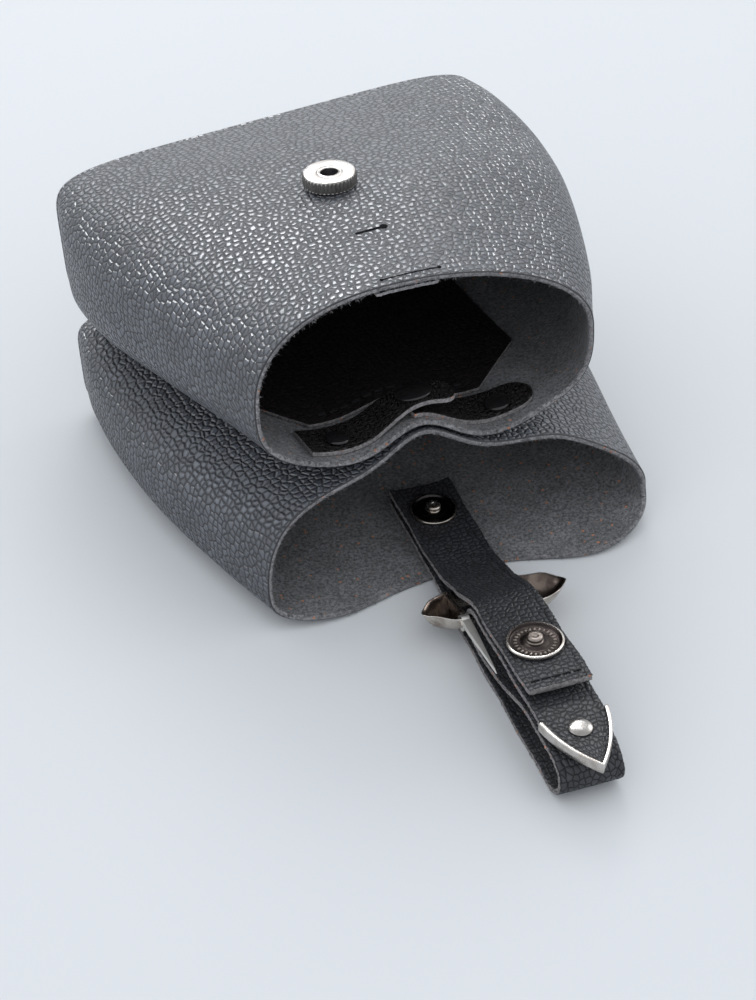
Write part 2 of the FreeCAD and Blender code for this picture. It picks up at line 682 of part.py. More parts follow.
def ribbon(points, samples):
    """Strap of even thickness along a route in the u-z plane."""
    curve = strap_curve(points)
    first, last = curve.FirstParameter, curve.LastParameter
    over, under = [], []
    for i in range(samples + 1):
        at = first + (last - first) * i / samples
        here = curve.value(at)
        along = curve.tangent(at)[0]
        side = Vec(-along.z, 0, along.x) * (STRAP_T / 2)
        over.append(here + side)
        under.append(here - side)
    top = Part.BSplineCurve()
    top.interpolate(over)
    low = Part.BSplineCurve()
    low.interpolate(under)
    ends = [Part.makeLine(over[-1], under[-1]), Part.makeLine(under[0], over[0])]
    outline = Part.Wire([top.toShape(), ends[0], low.toShape(), ends[1]])
    solid = Part.Face(outline).extrude(Vec(0, STRAP_W, 0))
    solid.translate(Vec(0, -STRAP_W / 2, 0))
    return solid


def between(shape, u0, u1):
    """The part of a strap between two places along it."""
    wide = 2 * STRAP_W
    tall = MOUTH_HEIGHT
    return shape.common(Part.makeBox(u1 - u0, 2 * wide, tall, Vec(u0, -wide, -1)))


def height_on(points, u):
    """Middle height of a strap's first pass over u."""
    curve = strap_curve(points)
    at = curve.FirstParameter
    step = (curve.LastParameter - at) / 2000
    while curve.value(at).x < u and at < curve.LastParameter:
        at += step
    return curve.value(at).z


def strap_hole(u, low, high):
    return Part.makeCylinder(POST_D / 2 + FIT, high - low, Vec(u, 0, low))


def upper_strap():
    strap = ribbon(UPPER_STRAP, 60)
    strap = strap.cut(strap_hole(0.0, 0, 12))
    here, slope = flap_levels()
    return strap.cut(tipped(strap_hole(FLAP_SNAP_U, here - 4, here + 4), slope))


def ogive(inset, low, high):
    """Pointed prism of the strap end: two arcs from the strap's edges to the point."""
    half = STRAP_W / 2 + TIP_WALL - inset
    length = TIP_END_U - TIP_START_U - inset
    end = Vec(TIP_START_U + length, 0, low)
    right = Vec(TIP_START_U, half, low)
    left = Vec(TIP_START_U, -half, low)
    bulge = 0.10 * half
    way = Vec(length, -half, 0)
    out = Vec(half, length, 0)
    out.normalize()
    mid_right = right + way * 0.5 + out * bulge * 1.6
    mid_left = Vec(mid_right.x, -mid_right.y, low)
    edges = [Part.Arc(right, mid_right, end).toShape(), Part.Arc(end, mid_left, left).toShape(),
             Part.makeLine(left, right)]
    return Part.Face(Part.Wire(edges)).extrude(Vec(0, 0, high - low))


def loop_strap():
    strap = ribbon(LOOP_STRAP, 110)
    strap = strap.cut(strap_hole(0.0, 0, 12))
    strap = strap.cut(strap_hole(TIP_RIVET_U, 16, 30))
    low, high = tip_levels()
    corner = Part.makeBox(60, 2 * STRAP_W, high - low + 4, Vec(TIP_START_U, -STRAP_W, low))
    keep = ogive(TIP_WALL + FIT, low, high + 4)
    return strap.cut(corner.cut(keep))


def tip_levels():
    middle = LOOP_STRAP[-1][1]
    return middle - TIP_H / 2, middle + TIP_H / 2


def strap_tip():
    """Pointed metal channel: floor, edge wall and a narrow lip over the leather."""
    low, high = tip_levels()
    plate = TIP_WALL
    body = ogive(0.0, low, high)
    room_low = LOOP_STRAP[-1][1] - STRAP_T / 2 - FIT
    room_high = LOOP_STRAP[-1][1] + STRAP_T / 2 + FIT
    room = ogive(TIP_WALL, room_low, room_high)
    window = ogive(TIP_WALL + TIP_LIP, room_low, high + 1)
    mouth = Part.makeBox(6, STRAP_W + 2 * FIT, room_high - room_low,
                         Vec(TIP_START_U - 5, -STRAP_W / 2 - FIT, room_low))
    body = body.cut(room).cut(window).cut(mouth)
    return body.cut(strap_hole(TIP_RIVET_U, low - 1, low + plate + 1))


def tip_rivet():
    low, high = tip_levels()
    top = LOOP_STRAP[-1][1] + STRAP_T / 2 + FIT
    head = dome(TIP_RIVET_D, TIP_RIVET_H)
    head.translate(Vec(TIP_RIVET_U, 0, top))
    post = Part.makeCylinder(POST_D / 2, top - low, Vec(TIP_RIVET_U, 0, low))
    return head.fuse(post).removeSplitter()


def stud(u, base, disc_d, disc_h, foot):
    """Male snap: dished disc with a raised nub, and a post down to its foot."""
    disc = Part.makeCylinder(disc_d / 2, disc_h, Vec(u, 0, base))
    dish = Part.makeCylinder(disc_d / 2 - STUD_RIM, disc_h, Vec(u, 0, base + STUD_FLOOR))
    collar = Part.makeCylinder(NUB_D / 2 + 1.0, NUB_H / 3, Vec(u, 0, base))
    nub = Part.makeCylinder(NUB_D / 2, NUB_H, Vec(u, 0, base))
    groove_z = base + 0.47 * NUB_H
    groove_h = 0.27 * NUB_H
    groove = Part.makeCylinder(NUB_D, groove_h, Vec(u, 0, groove_z))
    groove = groove.cut(Part.makeCylinder(NUB_D / 2 - NUB_NECK, groove_h, Vec(u, 0, groove_z)))
    post = Part.makeCylinder(POST_D / 2, base - foot + STUD_FLOOR / 2, Vec(u, 0, foot))
    return disc.cut(dish).fuse([collar, nub.cut(groove), post]).removeSplitter()


def root_stud():
    top = height_on(UPPER_STRAP, 0.0) + STRAP_T / 2 + STUD_LIFT
    return stud(0.0, top, STUD_D, STUD_H, SEAT)


def flap_levels():
    here = height_on(UPPER_STRAP, FLAP_SNAP_U)
    ahead = height_on(UPPER_STRAP, FLAP_SNAP_U + FLAP_SNAP_D / 2)
    behind = height_on(UPPER_STRAP, FLAP_SNAP_U - FLAP_SNAP_D / 2)
    slope = degrees(atan2(ahead - behind, FLAP_SNAP_D))
    return here, slope


def tipped(shape, slope):
    turned = shape.copy()
    turned.rotate(Vec(FLAP_SNAP_U, 0, flap_levels()[0]), Vec(0, 1, 0), -slope)
    return turned


def flap_stud():
    here, slope = flap_levels()
    top = here + STRAP_T / 2 + STUD_LIFT
    return tipped(stud(FLAP_SNAP_U, top, FLAP_SNAP_D, FLAP_SNAP_H, here - STRAP_T / 2), slope)


def flap_washer():
    here, slope = flap_levels()
    low = here - STRAP_T / 2 - STUD_LIFT - FLAP_WASHER_T
    ring = Part.makeCylinder(FLAP_WASHER_D / 2, FLAP_WASHER_T, Vec(FLAP_SNAP_U, 0, low))
    return tipped(ring, slope)


def flap_stitches():
    points = []
    u = FLAP_END_U - FLAP_STITCH_INSET
    z = height_on(UPPER_STRAP, u) + STRAP_T / 2 + SEAT
    for i in range(FLAP_STITCHES):
        v = (i - (FLAP_STITCHES - 1) / 2) * FLAP_STITCH_PITCH
        points.append((Vec(u, v, z), Vec(0, 1, 0)))
    return stitch_row(points, FLAP_STITCH_L, STITCH_W, STITCH_H)


# ---------------------------------------------------------------- buckle
def buckle_outline(grow, low, high):
    """Frame outline in plan: pointed wings left and right, the bar side straight."""
    near = BAR_U + 1.8 + grow
    far = BUCKLE_FAR_U - grow
    half = BUCKLE_HALF + grow
    middle = (near + far) / 2
    spots = [(near, -STRAP_W / 2 - 1.0), (middle + 3.0, -half * 0.86), (middle - 1.5, -half),
             (far + 4.6, -half * 0.78), (far + 0.6, -half * 0.42), (far, 0.0)]
    right = [(u, -v) for u, v in reversed(spots[:-1])]
    points = [Vec(u, BUCKLE_V + v, low) for u, v in spots + right]
    left_side = Part.BSplineCurve()
    left_side.interpolate(points[0:3])
    far_side = Part.BSplineCurve()
    far_side.interpolate(points[2:9])
    right_side = Part.BSplineCurve()
    right_side.interpolate(points[8:11])
    edges = [left_side.toShape(), far_side.toShape(), right_side.toShape(),
             Part.makeLine(points[10], points[0])]
    return Part.Face(Part.Wire(edges)).extrude(Vec(0, 0, high - low))


def buckle_frame():
    """Hollow-backed frame: a shallow tray on each wing and a way through between."""
    body = buckle_outline(0.0, 0.0, BUCKLE_H)
    tray = buckle_outline(-BUCKLE_WALL, BUCKLE_WALL, BUCKLE_H + 1)
    far = BUCKLE_FAR_U + BUCKLE_FAR_BAR
    half = STRAP_W / 2 + WAY_CLEAR
    reach = half + BUCKLE_CHEEK
    tall = 6 * BUCKLE_H
    way = Part.makeBox(2 * BAR_U, 2 * half, tall, Vec(far, -half, -tall / 2))
    cheek = Part.makeBox(BAR_U + 4 - far, 2 * reach, BUCKLE_H, Vec(far - 1, -reach, 0))
    cheeks = cheek.common(body)
    frame = body.cut(tray).fuse(cheeks).cut(way)
    frame.translate(Vec(0, 0, BAR_Z - BUCKLE_H / 2 - BUCKLE_DROP))
    frame.rotate(Vec(BAR_U, 0, BAR_Z), Vec(0, 1, 0), -BUCKLE_TILT)
    room = PRONG_W + 10 * FIT
    eye_room = 2 * (BAR_D / 2 + PRONG_EYE + SEAT) + 2
    prong_room = Part.makeBox(eye_room, room, tall,
                              Vec(BAR_U - eye_room / 2, PRONG_V - room / 2, BAR_Z - tall / 2))
    frame = frame.cut(prong_room)
    long = 2 * BUCKLE_HALF
    hole = Part.makeCylinder(BAR_D / 2, long, Vec(BAR_U, -long / 2, BAR_Z), Vec(0, 1, 0))
    return frame.cut(hole)


def buckle_bar():
    left = PRONG_V - PRONG_W / 2 - 0.4
    right = STRAP_W / 2 + BAR_RIGHT_SEAT
    return Part.makeCylinder(BAR_D / 2 - FIT / 5, right - left, Vec(BAR_U, left, BAR_Z), Vec(0, 1, 0))


def buckle_prong():
    """Pointed tongue with an eye that turns on the bar."""
    low_v = PRONG_V - PRONG_W / 2
    eye = Part.makeCylinder(BAR_D / 2 + PRONG_EYE, PRONG_W, Vec(BAR_U, low_v, BAR_Z), Vec(0, 1, 0))
    reach = BAR_U + PRONG_L
    side = [Vec(BAR_U, 0, BAR_Z + 0.2), Vec(reach - 1, 0, BAR_Z + 1.3), Vec(reach, 0, BAR_Z + 1.9),
            Vec(reach - 2, 0, BAR_Z + 2.5), Vec(BAR_U + 4, 0, BAR_Z + 2.3), Vec(BAR_U, 0, BAR_Z + 2.3)]
    blade = Part.Face(Part.makePolygon(side + [side[0]])).extrude(Vec(0, PRONG_W, 0))
    blade.translate(Vec(0, low_v, 0))
    plan = [Vec(BAR_U - 3, low_v, 0), Vec(BAR_U + 6, low_v, 0), Vec(reach, PRONG_V, 0),
            Vec(BAR_U + 6, low_v + PRONG_W, 0), Vec(BAR_U - 3, low_v + PRONG_W, 0)]
    blade = blade.common(Part.Face(Part.makePolygon(plan + [plan[0]])).extrude(Vec(0, 0, 40)))
    hole = Part.makeCylinder(BAR_D / 2 + FIT, PRONG_W + 2, Vec(BAR_U, low_v - 1, BAR_Z), Vec(0, 1, 0))
    return eye.fuse(blade).removeSplitter().cut(hole)


# ---------------------------------------------------------------- writing
def build():
    parts = {
        "upper_pouch_shell": upper_pouch(),
        "lower_pouch_shell": lower_pouch(),
        "upper_base_panel": base_panel(upper_section, upper_plane),
        "lower_base_panel": above_ground(base_panel(lower_section, lower_plane)),
        "pocket_panel": pocket_panel(),
        "pocket_stitches": pocket_stitches(),
        "mouth_patch": mouth_patch(),
        "right_tab": right_tab(),
        "left_tab_rivet": tab_rivet(*LEFT_RIVET),
        "right_tab_rivet": tab_rivet(*RIGHT_RIVET),
        "tab_snap_cap": tab_cap(),
        "snap_housing": snap_housing(),
        "snap_magnet": snap_magnet(),
        "snap_back_plate": snap_back(),
        "root_stud": place(root_stud()),
        "flap_snap_stud": place(flap_stud()),
        "flap_snap_washer": place(flap_washer()),
        "flap_stitches": place(flap_stitches()),
        "buckle_frame": place(buckle_frame()),
        "buckle_bar": place(buckle_bar()),
        "buckle_prong": place(buckle_prong()),
        "strap_tip": place(strap_tip()),
        "tip_rivet": place(tip_rivet()),
    }
    tab = left_tab()
    tall = 2 * MOUTH_HEIGHT
    west = Part.makeBox(100, tall, tall, Vec(TAB_BEND_X - 100 - SPLIT_GAP, -tall, 0))
    east = Part.makeBox(100, tall, tall, Vec(TAB_BEND_X + SPLIT_GAP, -tall, 0))
    parts["left_tab_base"] = tab.common(west)
    parts["left_tab_flap"] = tab.common(east)
    above = upper_strap()
    start = UPPER_STRAP[0][0] - 1
    parts["upper_strap_root"] = place(between(above, start, LOOP_BEND_U - SPLIT_GAP))
    parts["upper_strap"] = place(between(above, LOOP_BEND_U + SPLIT_GAP, FLAP_BEND_U - SPLIT_GAP))
    parts["strap_flap"] = place(between(above, FLAP_BEND_U + SPLIT_GAP, FLAP_END_U + 2))
    below = loop_strap()
    parts["loop_strap_root"] = place(between(below, start, LOOP_BEND_U - SPLIT_GAP))
    parts["loop_strap"] = place(between(below, LOOP_BEND_U + SPLIT_GAP, TIP_END_U + 2))
    return parts


os.makedirs("parts", exist_ok=True)
for name, shape in build().items():
    shape.exportStep("parts/%s.step" % name)
    box = shape.BoundBox
    print("%-20s solids %d valid %s vol %9.1f  x %7.1f %7.1f  y %7.1f %7.1f  z %6.1f %6.1f" % (
        name, len(shape.Solids), shape.isValid(), shape.Volume,
        box.XMin, box.XMax, box.YMin, box.YMax, box.ZMin, box.ZMax))
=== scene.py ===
import bpy
import numpy as np
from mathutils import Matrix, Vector


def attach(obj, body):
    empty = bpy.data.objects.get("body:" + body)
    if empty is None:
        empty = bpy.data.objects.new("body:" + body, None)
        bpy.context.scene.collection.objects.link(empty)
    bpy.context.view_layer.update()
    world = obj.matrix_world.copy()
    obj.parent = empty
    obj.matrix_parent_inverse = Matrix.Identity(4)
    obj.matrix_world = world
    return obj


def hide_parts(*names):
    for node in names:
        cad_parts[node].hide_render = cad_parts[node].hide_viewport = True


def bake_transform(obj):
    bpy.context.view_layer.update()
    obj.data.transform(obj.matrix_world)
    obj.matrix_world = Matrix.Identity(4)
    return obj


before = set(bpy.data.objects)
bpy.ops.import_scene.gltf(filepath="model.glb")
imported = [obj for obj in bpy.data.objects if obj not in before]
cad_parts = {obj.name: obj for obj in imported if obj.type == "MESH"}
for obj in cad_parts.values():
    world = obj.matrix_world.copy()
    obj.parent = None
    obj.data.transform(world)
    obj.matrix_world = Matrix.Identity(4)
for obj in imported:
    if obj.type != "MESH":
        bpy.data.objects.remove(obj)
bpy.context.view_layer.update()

# All lengths below are millimetres; put_mesh turns them into metres.
MM = 0.001
UP = np.array([0.0, 0.0, 1.0])
rng = np.random.default_rng(11)

# ---------------------------------------------------------------- sizes of the bag
HALF_WIDTH = 80.0
BAG_DEPTH = 130.0
BAG_HEIGHT = 88.0
MOUTH_HEIGHT = 109.5
WALL = 1.8
PARTING_GAP = 0.8
BASE_SPLIT = 37.0
MOUTH_SPLIT = 47.0
SPLIT_SLOPE = 0.08
PARTING_START_Y = 68.0
# Swells as height, middle and spread: two of the parting, two of the lower lip.
PINCH = (10.0, -7.0, 15.0)
PINCH_RIGHT = (3.0, 42.0, 16.0)
LOBE_RIGHT = (12.0, 50.0, 25.0)
LOBE_LEFT = (5.0, -42.0, 20.0)
LIP_TOP = 6.0
SEAT = 0.3

# Sections of the pouches from the base, 0, to the mouth, 1, and a little past it.
STATIONS = np.array([0.0, 0.12, 0.32, 0.56, 0.8, 1.0, 1.12])
LAST = 1.12
TUBE_ROWS = 150
SKIN_ROWS = 104
SKIN_COLS = 300
HALVINGS = 26
SETTLINGS = 4
# Rows of values at the stations: reach to the left and right as shares of HALF_WIDTH, height
# of the widest place, rise of the roof as a share, its tilt to the right, the powers of the
# outline at the left, the right and below, place along the depth, and lean towards +Y.
UPPER = {
    "left": [0.955, 1.0, 1.0, 0.925, 0.835, 0.775, 0.75],
    "right": [1.025, 1.075, 1.10, 0.995, 0.825, 0.685, 0.62],
    "wide": [64.0, 65.0, 67.0, 71.0, 75.0, 77.0, 78.0],
    "top": [0.0, 0.21, 0.53, 0.77, 0.93, 1.0, 1.02],
    "tilt": [-0.02, -0.02, 0.0, 0.0, 0.02, 0.07, 0.07],
    "n_left": [6.0, 4.2, 3.1, 2.7, 2.5, 2.4, 2.4],
    "n_right": [6.0, 4.2, 3.0, 2.6, 2.2, 2.0, 2.0],
    "n_low": [6.0, 5.0, 4.0, 3.3, 3.0, 2.8, 2.8],
    "along": [0.0, 0.118, 0.324, 0.581, 0.824, 1.0, 1.115],
    "lean": [0.24, 0.23, 0.21, 0.19, 0.17, 0.15, 0.14],
    "base_y": 77.0, "length": BAG_DEPTH + 6.0, "level": 77.0,
}
LOWER = {
    "left": [0.955, 0.99, 1.0, 0.965, 0.875, 0.785, 0.73],
    "right": [0.975, 1.035, 1.06, 1.02, 0.96, 0.905, 0.88],
    "wide": [20.0, 19.0, 17.0, 15.0, 13.0, 12.0, 12.0],
    "n_left": [6.0, 4.5, 3.2, 2.8, 2.7, 2.8, 2.8],
    "n_right": [6.0, 4.5, 3.2, 2.6, 2.2, 2.0, 2.0],
    "n_low": [6.0, 5.0, 4.5, 4.0, 3.6, 3.4, 3.4],
    "along": [0.0, 0.115, 0.300, 0.546, 0.800, 1.0, 1.12],
    "lean": [0.22, 0.21, 0.20, 0.18, 0.15, 0.13, 0.12],
    "base_y": 61.5, "length": BAG_DEPTH, "level": 12.0,
}
UPPER_MOUTH_Y = UPPER["base_y"] - UPPER["length"]
LOWER_MOUTH_Y = LOWER["base_y"] - LOWER["length"]


# ---------------------------------------------------------------- mesh helpers
def lattice(rows, cols, wrap_rows=False, wrap_cols=False):
    """Quads of a grid numbered row by row; a wrap joins the last row or column to the first."""
    r = np.arange(rows if wrap_rows else rows - 1)
    c = np.arange(cols if wrap_cols else cols - 1)
    r, c = np.meshgrid(r, c, indexing="ij")
    r1, c1 = (r + 1) % rows, (c + 1) % cols
    quads = [r * cols + c, r * cols + c1, r1 * cols + c1, r1 * cols + c]
    return np.stack(quads, -1).reshape(-1, 4)


def closed_tube(rows, cols):
    """Faces of a grid wrapped round its columns, its first and last row closed by fans onto
    the two points that follow the grid."""
    c, hub, last = np.arange(cols), np.full(cols, rows * cols), (rows - 1) * cols
    c1 = (c + 1) % cols
    return [lattice(rows, cols, wrap_cols=True), np.stack([hub, c1, c], -1),
            np.stack([hub + 1, last + c, last + c1], -1)]


def capped_tube(rows, cols):
    """Faces of the same grid closed by one flat face at each end."""
    cap = np.arange(cols)[None, :]
    return [lattice(rows, cols, wrap_cols=True), cap[:, ::-1], cap + (rows - 1) * cols]


def copies(faces, each, count):
    """Faces of one piece of each points, numbered on for count pieces."""
    return (faces[None] + each * np.arange(count)[:, None, None]).reshape(-1, faces.shape[1])


def walked(line):
    """Length walked along a line of points, from 0."""
    return np.concatenate([[0.0], np.linalg.norm(np.diff(line, axis=0), axis=1).cumsum()])


def circle(at, radius, count):
    """x and y of points spaced evenly round a circle."""
    angle = 2 * np.pi * np.arange(count) / count
    return at[0] + radius * np.cos(angle), at[1] + radius * np.sin(angle)


def closed_volume(points, faces):
    """Volume of a closed mesh: a sixth of the sum of corner triple products over its triangles."""
    total = 0.0
    for face_list in faces:
        face = np.asarray(face_list)
        if face.size == 0:
            continue
        for k in range(1, face.shape[1] - 1):
            a, b, c = points[face[:, 0]], points[face[:, k]], points[face[:, k + 1]]
            total += np.einsum("ij,ij->", a, np.cross(b, c))
    return total / 6


def close_round(corners, pairs, turn):
    """UV of the corners of wrapped quads: where a quad crosses the closing line, the whole way
    round is added to its low corners."""
    v = pairs[corners, 1].reshape(-1, 4)
    whole = turn[corners].reshape(-1, 4)
    low = v.max(1, keepdims=True) - v > whole / 2
    return np.stack([pairs[corners, 0], (v + low * whole).ravel()], -1)


def put_mesh(name, points, faces, materials, which=None, uv=None, turn=None):
    """Object at the origin from points in millimetres and a list of face arrays of equal width.
    The faces are turned round if the volume they close is negative.  which holds each face's
    material number, uv one pair per point, turn the way round at each point of a first list of
    wrapped quads."""
    points = np.asarray(points, float).reshape(-1, 3)
    if closed_volume(points - points.mean(0), faces) < 0:
        faces = [np.asarray(f)[:, ::-1] for f in faces]
    mesh = bpy.data.meshes.new(name)
    face_rows = [row for f in faces for row in np.asarray(f).tolist()]
    mesh.from_pydata((points * MM).tolist(), [], face_rows)
    for material in materials:
        mesh.materials.append(material)
    if which is not None:
        mesh.polygons.foreach_set("material_index", np.asarray(which, np.int32))
    mesh.polygons.foreach_set("use_smooth", np.full(len(face_rows), True))
    if uv is not None:
        corner = np.empty(len(mesh.loops), np.int32)
        mesh.loops.foreach_get("vertex_index", corner)
        layer = mesh.uv_layers.new(name="cut")
        pairs = np.asarray(uv, float)
        flat = pairs[corner]
        if turn is not None:
            wrapped = 4 * len(faces[0])
            flat[:wrapped] = close_round(corner[:wrapped], pairs, turn)
        layer.data.foreach_set("uv", (flat * MM).ravel())
    mesh.update()
    made = bpy.data.objects.new(name, mesh)
    bpy.context.scene.collection.objects.link(made)
    return made


def soften(piece, width, segments=2, angle=40.0):
    """Round the edges sharper than angle with a bevel of the given width."""
    bevel = piece.modifiers.new("rounded edges", "BEVEL")
    bevel.width = width * MM
    bevel.segments = segments
    bevel.limit_method = "ANGLE"
    bevel.angle_limit = np.radians(angle)
    bevel.harden_normals = True
    return piece


def outward_normals(grid):
    """Unit normals of a wrapped grid: cross product of the differences down and across it,
    turned away from the middle of its rows."""
    across = np.roll(grid, -1, 1) - np.roll(grid, 1, 1)
    normal = np.cross(np.gradient(grid, axis=0), across)
    normal /= np.maximum(np.linalg.norm(normal, axis=-1, keepdims=True), 1e-9)
    away = np.einsum("ijk,ijk->", normal, grid - grid.mean(1, keepdims=True))
    return -normal if away < 0 else normal


def smooth_step(x, start, end):
    """0 up to start, 1 from end on, 3u^2 - 2u^3 between them."""
    u = np.clip((x - start) / (end - start), 0.0, 1.0)
    return u * u * (3 - 2 * u)


def slab(name, top, low, materials):
    """Closed leather slab between two grids of the same shape: the top, the underside turned
    over, and a strip round the edge joining them."""
    rows, cols = top.shape[:2]
    count = rows * cols
    quads = lattice(rows, cols)
    loop = np.concatenate([np.arange(cols), np.arange(1, rows) * cols + cols - 1,
                           (rows - 1) * cols + np.arange(cols - 2, -1, -1),
                           np.arange(rows - 2, 0, -1) * cols])
    after = np.roll(loop, -1)
    strip = np.stack([loop, loop + count, after + count, after], -1)
    faces = np.concatenate([quads, quads[:, ::-1] + count, strip])
    which = np.zeros(len(faces), int)
    which[len(quads):2 * len(quads)] = min(2, len(materials) - 1)
    which[2 * len(quads):] = min(1, len(materials) - 1)
    points = np.concatenate([top.reshape(-1, 3), low.reshape(-1, 3)])
    down = np.cumsum(np.linalg.norm(np.diff(top, axis=0, prepend=top[:1]), axis=-1), 0)
    across = np.cumsum(np.linalg.norm(np.diff(top, axis=1, prepend=top[:, :1]), axis=-1), 1)
    uv = np.stack([down, across], -1).reshape(-1, 2)
    return put_mesh(name, points, [faces], materials, which, np.concatenate([uv, uv + 3]))


def turned(name, profile, point, up, materials, around=72, ripple=None, which=None):
    """Turned metal piece: profile rows of radius and height, carried round the axis up from
    point.  The first and last rows close at the axis.  ripple(angle, row) changes the radius and
    which holds each row's material number."""
    profile = np.asarray(profile, float)
    angle = 2 * np.pi * np.arange(around) / around
    radius = np.repeat(profile[:, :1], around, 1)
    if ripple is not None:
        radius = radius + ripple(angle[None, :], np.arange(len(profile))[:, None])
    up = np.asarray(up, float) / np.linalg.norm(up)
    side = np.cross(up, [0.0, 1.0, 0.0])
    side /= np.linalg.norm(side)
    other = np.cross(up, side)
    ring = np.cos(angle)[:, None] * side + np.sin(angle)[:, None] * other
    grid = radius[..., None] * ring[None] + profile[:, None, 1:2] * up
    ends = [profile[0, 1] * up, profile[-1, 1] * up]
    points = np.concatenate([grid.reshape(-1, 3), ends]) + np.asarray(point, float)
    if which is not None:
        which = np.repeat(np.concatenate([which[:-1], which[:1], which[-1:]]), around)
    return put_mesh(name, points, closed_tube(len(profile), around), materials, which)


def rounded(corners, radius, steps=4):
    """Profile with its inner corners rounded: each corner becomes a quadratic bend that leaves
    and joins the straight runs a radius from the corner."""
    corners = [np.asarray(c, float) for c in corners]
    out = [corners[0]]
    for before, here, after in zip(corners[:-2], corners[1:-1], corners[2:]):
        back, ahead = before - here, after - here
        reach_back = min(radius, np.linalg.norm(back) * 0.45)
        reach_ahead = min(radius, np.linalg.norm(ahead) * 0.45)
        a = here + back / np.linalg.norm(back) * reach_back
        b = here + ahead / np.linalg.norm(ahead) * reach_ahead
        for k in range(steps + 1):
            s = k / steps
            out.append(a * (1 - s) ** 2 + here * 2 * s * (1 - s) + b * s * s)
    out.append(corners[-1])
    return np.array(out)


# ---------------------------------------------------------------- finishes
def feed(tree, sockets, values):
    """Link a socket to another node's output, or set it to a number or an opaque colour."""
    for key, value in values.items():
        if isinstance(value, bpy.types.NodeSocket):
            tree.links.new(value, sockets[key])
        elif sockets[key].type == "RGBA":
            sockets[key].default_value = (*value, 1.0)
        else:
            sockets[key].default_value = value


def add(tree, kind, inputs=None, **settings):
    """Node with its settings and its inputs fed."""
    made = tree.nodes.new(kind)
    for key, value in settings.items():
        setattr(made, key, value)
    feed(tree, made.inputs, inputs or {})
    return made


def maths(tree, operation, a, b):
    """Result of a sum, a product or the like of two values."""
    made = add(tree, "ShaderNodeMath", {0: a, 1: b}, operation=operation)
    return made.outputs[0]


def ramp(tree, value, low, high, to_low=0.0, to_high=1.0):
    """Smooth change from to_low to to_high as the value goes from low to high."""
    made = add(tree, "ShaderNodeMapRange", {"Value": value, "From Min": low, "From Max": high,
                                            "To Min": to_low, "To Max": to_high},
               interpolation_type="SMOOTHSTEP")
    return made.outputs["Result"]


def mix_colour(tree, share, a, b):
    """Colour a where the share is 0, b where it is 1; sockets 6, 7 and 2 carry colours."""
    made = add(tree, "ShaderNodeMix", {"Factor": share, 6: a, 7: b}, data_type="RGBA")
    return made.outputs[2]


def noise(tree, place, scale, detail, **inputs):
    """Grey noise at a place, from 0 to 1."""
    made = add(tree, "ShaderNodeTexNoise", {"Vector": place, "Scale": scale, "Detail": detail,
                                            **inputs})
    return made.outputs["Fac"]


def scaled(tree, vector, factor):
    """Vector or colour times a factor."""
    made = add(tree, "ShaderNodeVectorMath", {0: vector, "Scale": factor}, operation="SCALE")
    return made.outputs[0]


def new_group(name, inputs, outputs):
    """Empty shader group; inputs are (name, kind, value), outputs are (name, kind)."""
    tree = bpy.data.node_groups.new(name, "ShaderNodeTree")
    for label, kind, value in inputs:
        socket = tree.interface.new_socket(name=label, in_out="INPUT", socket_type=kind)
        if value is not None:
            socket.default_value = value
    for label, kind in outputs:
        tree.interface.new_socket(name=label, in_out="OUTPUT", socket_type=kind)
    return tree, tree.nodes.new("NodeGroupInput"), tree.nodes.new("NodeGroupOutput")


FLOAT = "NodeSocketFloat"
COLOUR = "NodeSocketColor"
VECTOR = "NodeSocketVector"


def make_pebble():
    """Pebbled grain drawn on the flat cut: rounded cells, the creases between them as the mask for
    painted shade, a tone of its own for each cell, and fine pores."""
    tree, given, out = new_group(
        "pebble_grain",
        [("Place", VECTOR, None), ("Cells", FLOAT, 400.0), ("Wander", FLOAT, 0.0006)],
        [("Height", FLOAT), ("Crease", FLOAT), ("Tone", FLOAT)])
    place = given.outputs["Place"]
    wander = add(tree, "ShaderNodeTexNoise", {"Vector": place, "Scale": 320.0, "Detail": 1.0},
                 noise_dimensions="2D")
    shift = add(tree, "ShaderNodeVectorMath", {0: wander.outputs["Color"], 1: (0.5, 0.5, 0.5)},
                operation="SUBTRACT")
    shift = scaled(tree, shift.outputs[0], given.outputs["Wander"])
    moved = add(tree, "ShaderNodeVectorMath", {0: place, 1: shift}, operation="ADD")
    seeds = {"Vector": moved.outputs[0], "Scale": given.outputs["Cells"], "Randomness": 0.78}
    edge = add(tree, "ShaderNodeTexVoronoi", seeds, feature="DISTANCE_TO_EDGE",
               voronoi_dimensions="2D")
    cell = add(tree, "ShaderNodeTexVoronoi", seeds, feature="F1", voronoi_dimensions="2D")
    top = ramp(tree, edge.outputs["Distance"], 0.0, 0.34)
    crease_shade = ramp(tree, edge.outputs["Distance"], 0.03, 0.17, 1.0, 0.0)
    pores = maths(tree, "MULTIPLY", noise(tree, place, 2600.0, 2.0), 0.10)
    dome = maths(tree, "ADD", maths(tree, "POWER", top, 0.8), pores)
    tone = add(tree, "ShaderNodeSeparateColor", {0: cell.outputs["Color"]})
    feed(tree, out.inputs, {"Height": dome, "Crease": crease_shade, "Tone": tone.outputs[0]})
    return tree


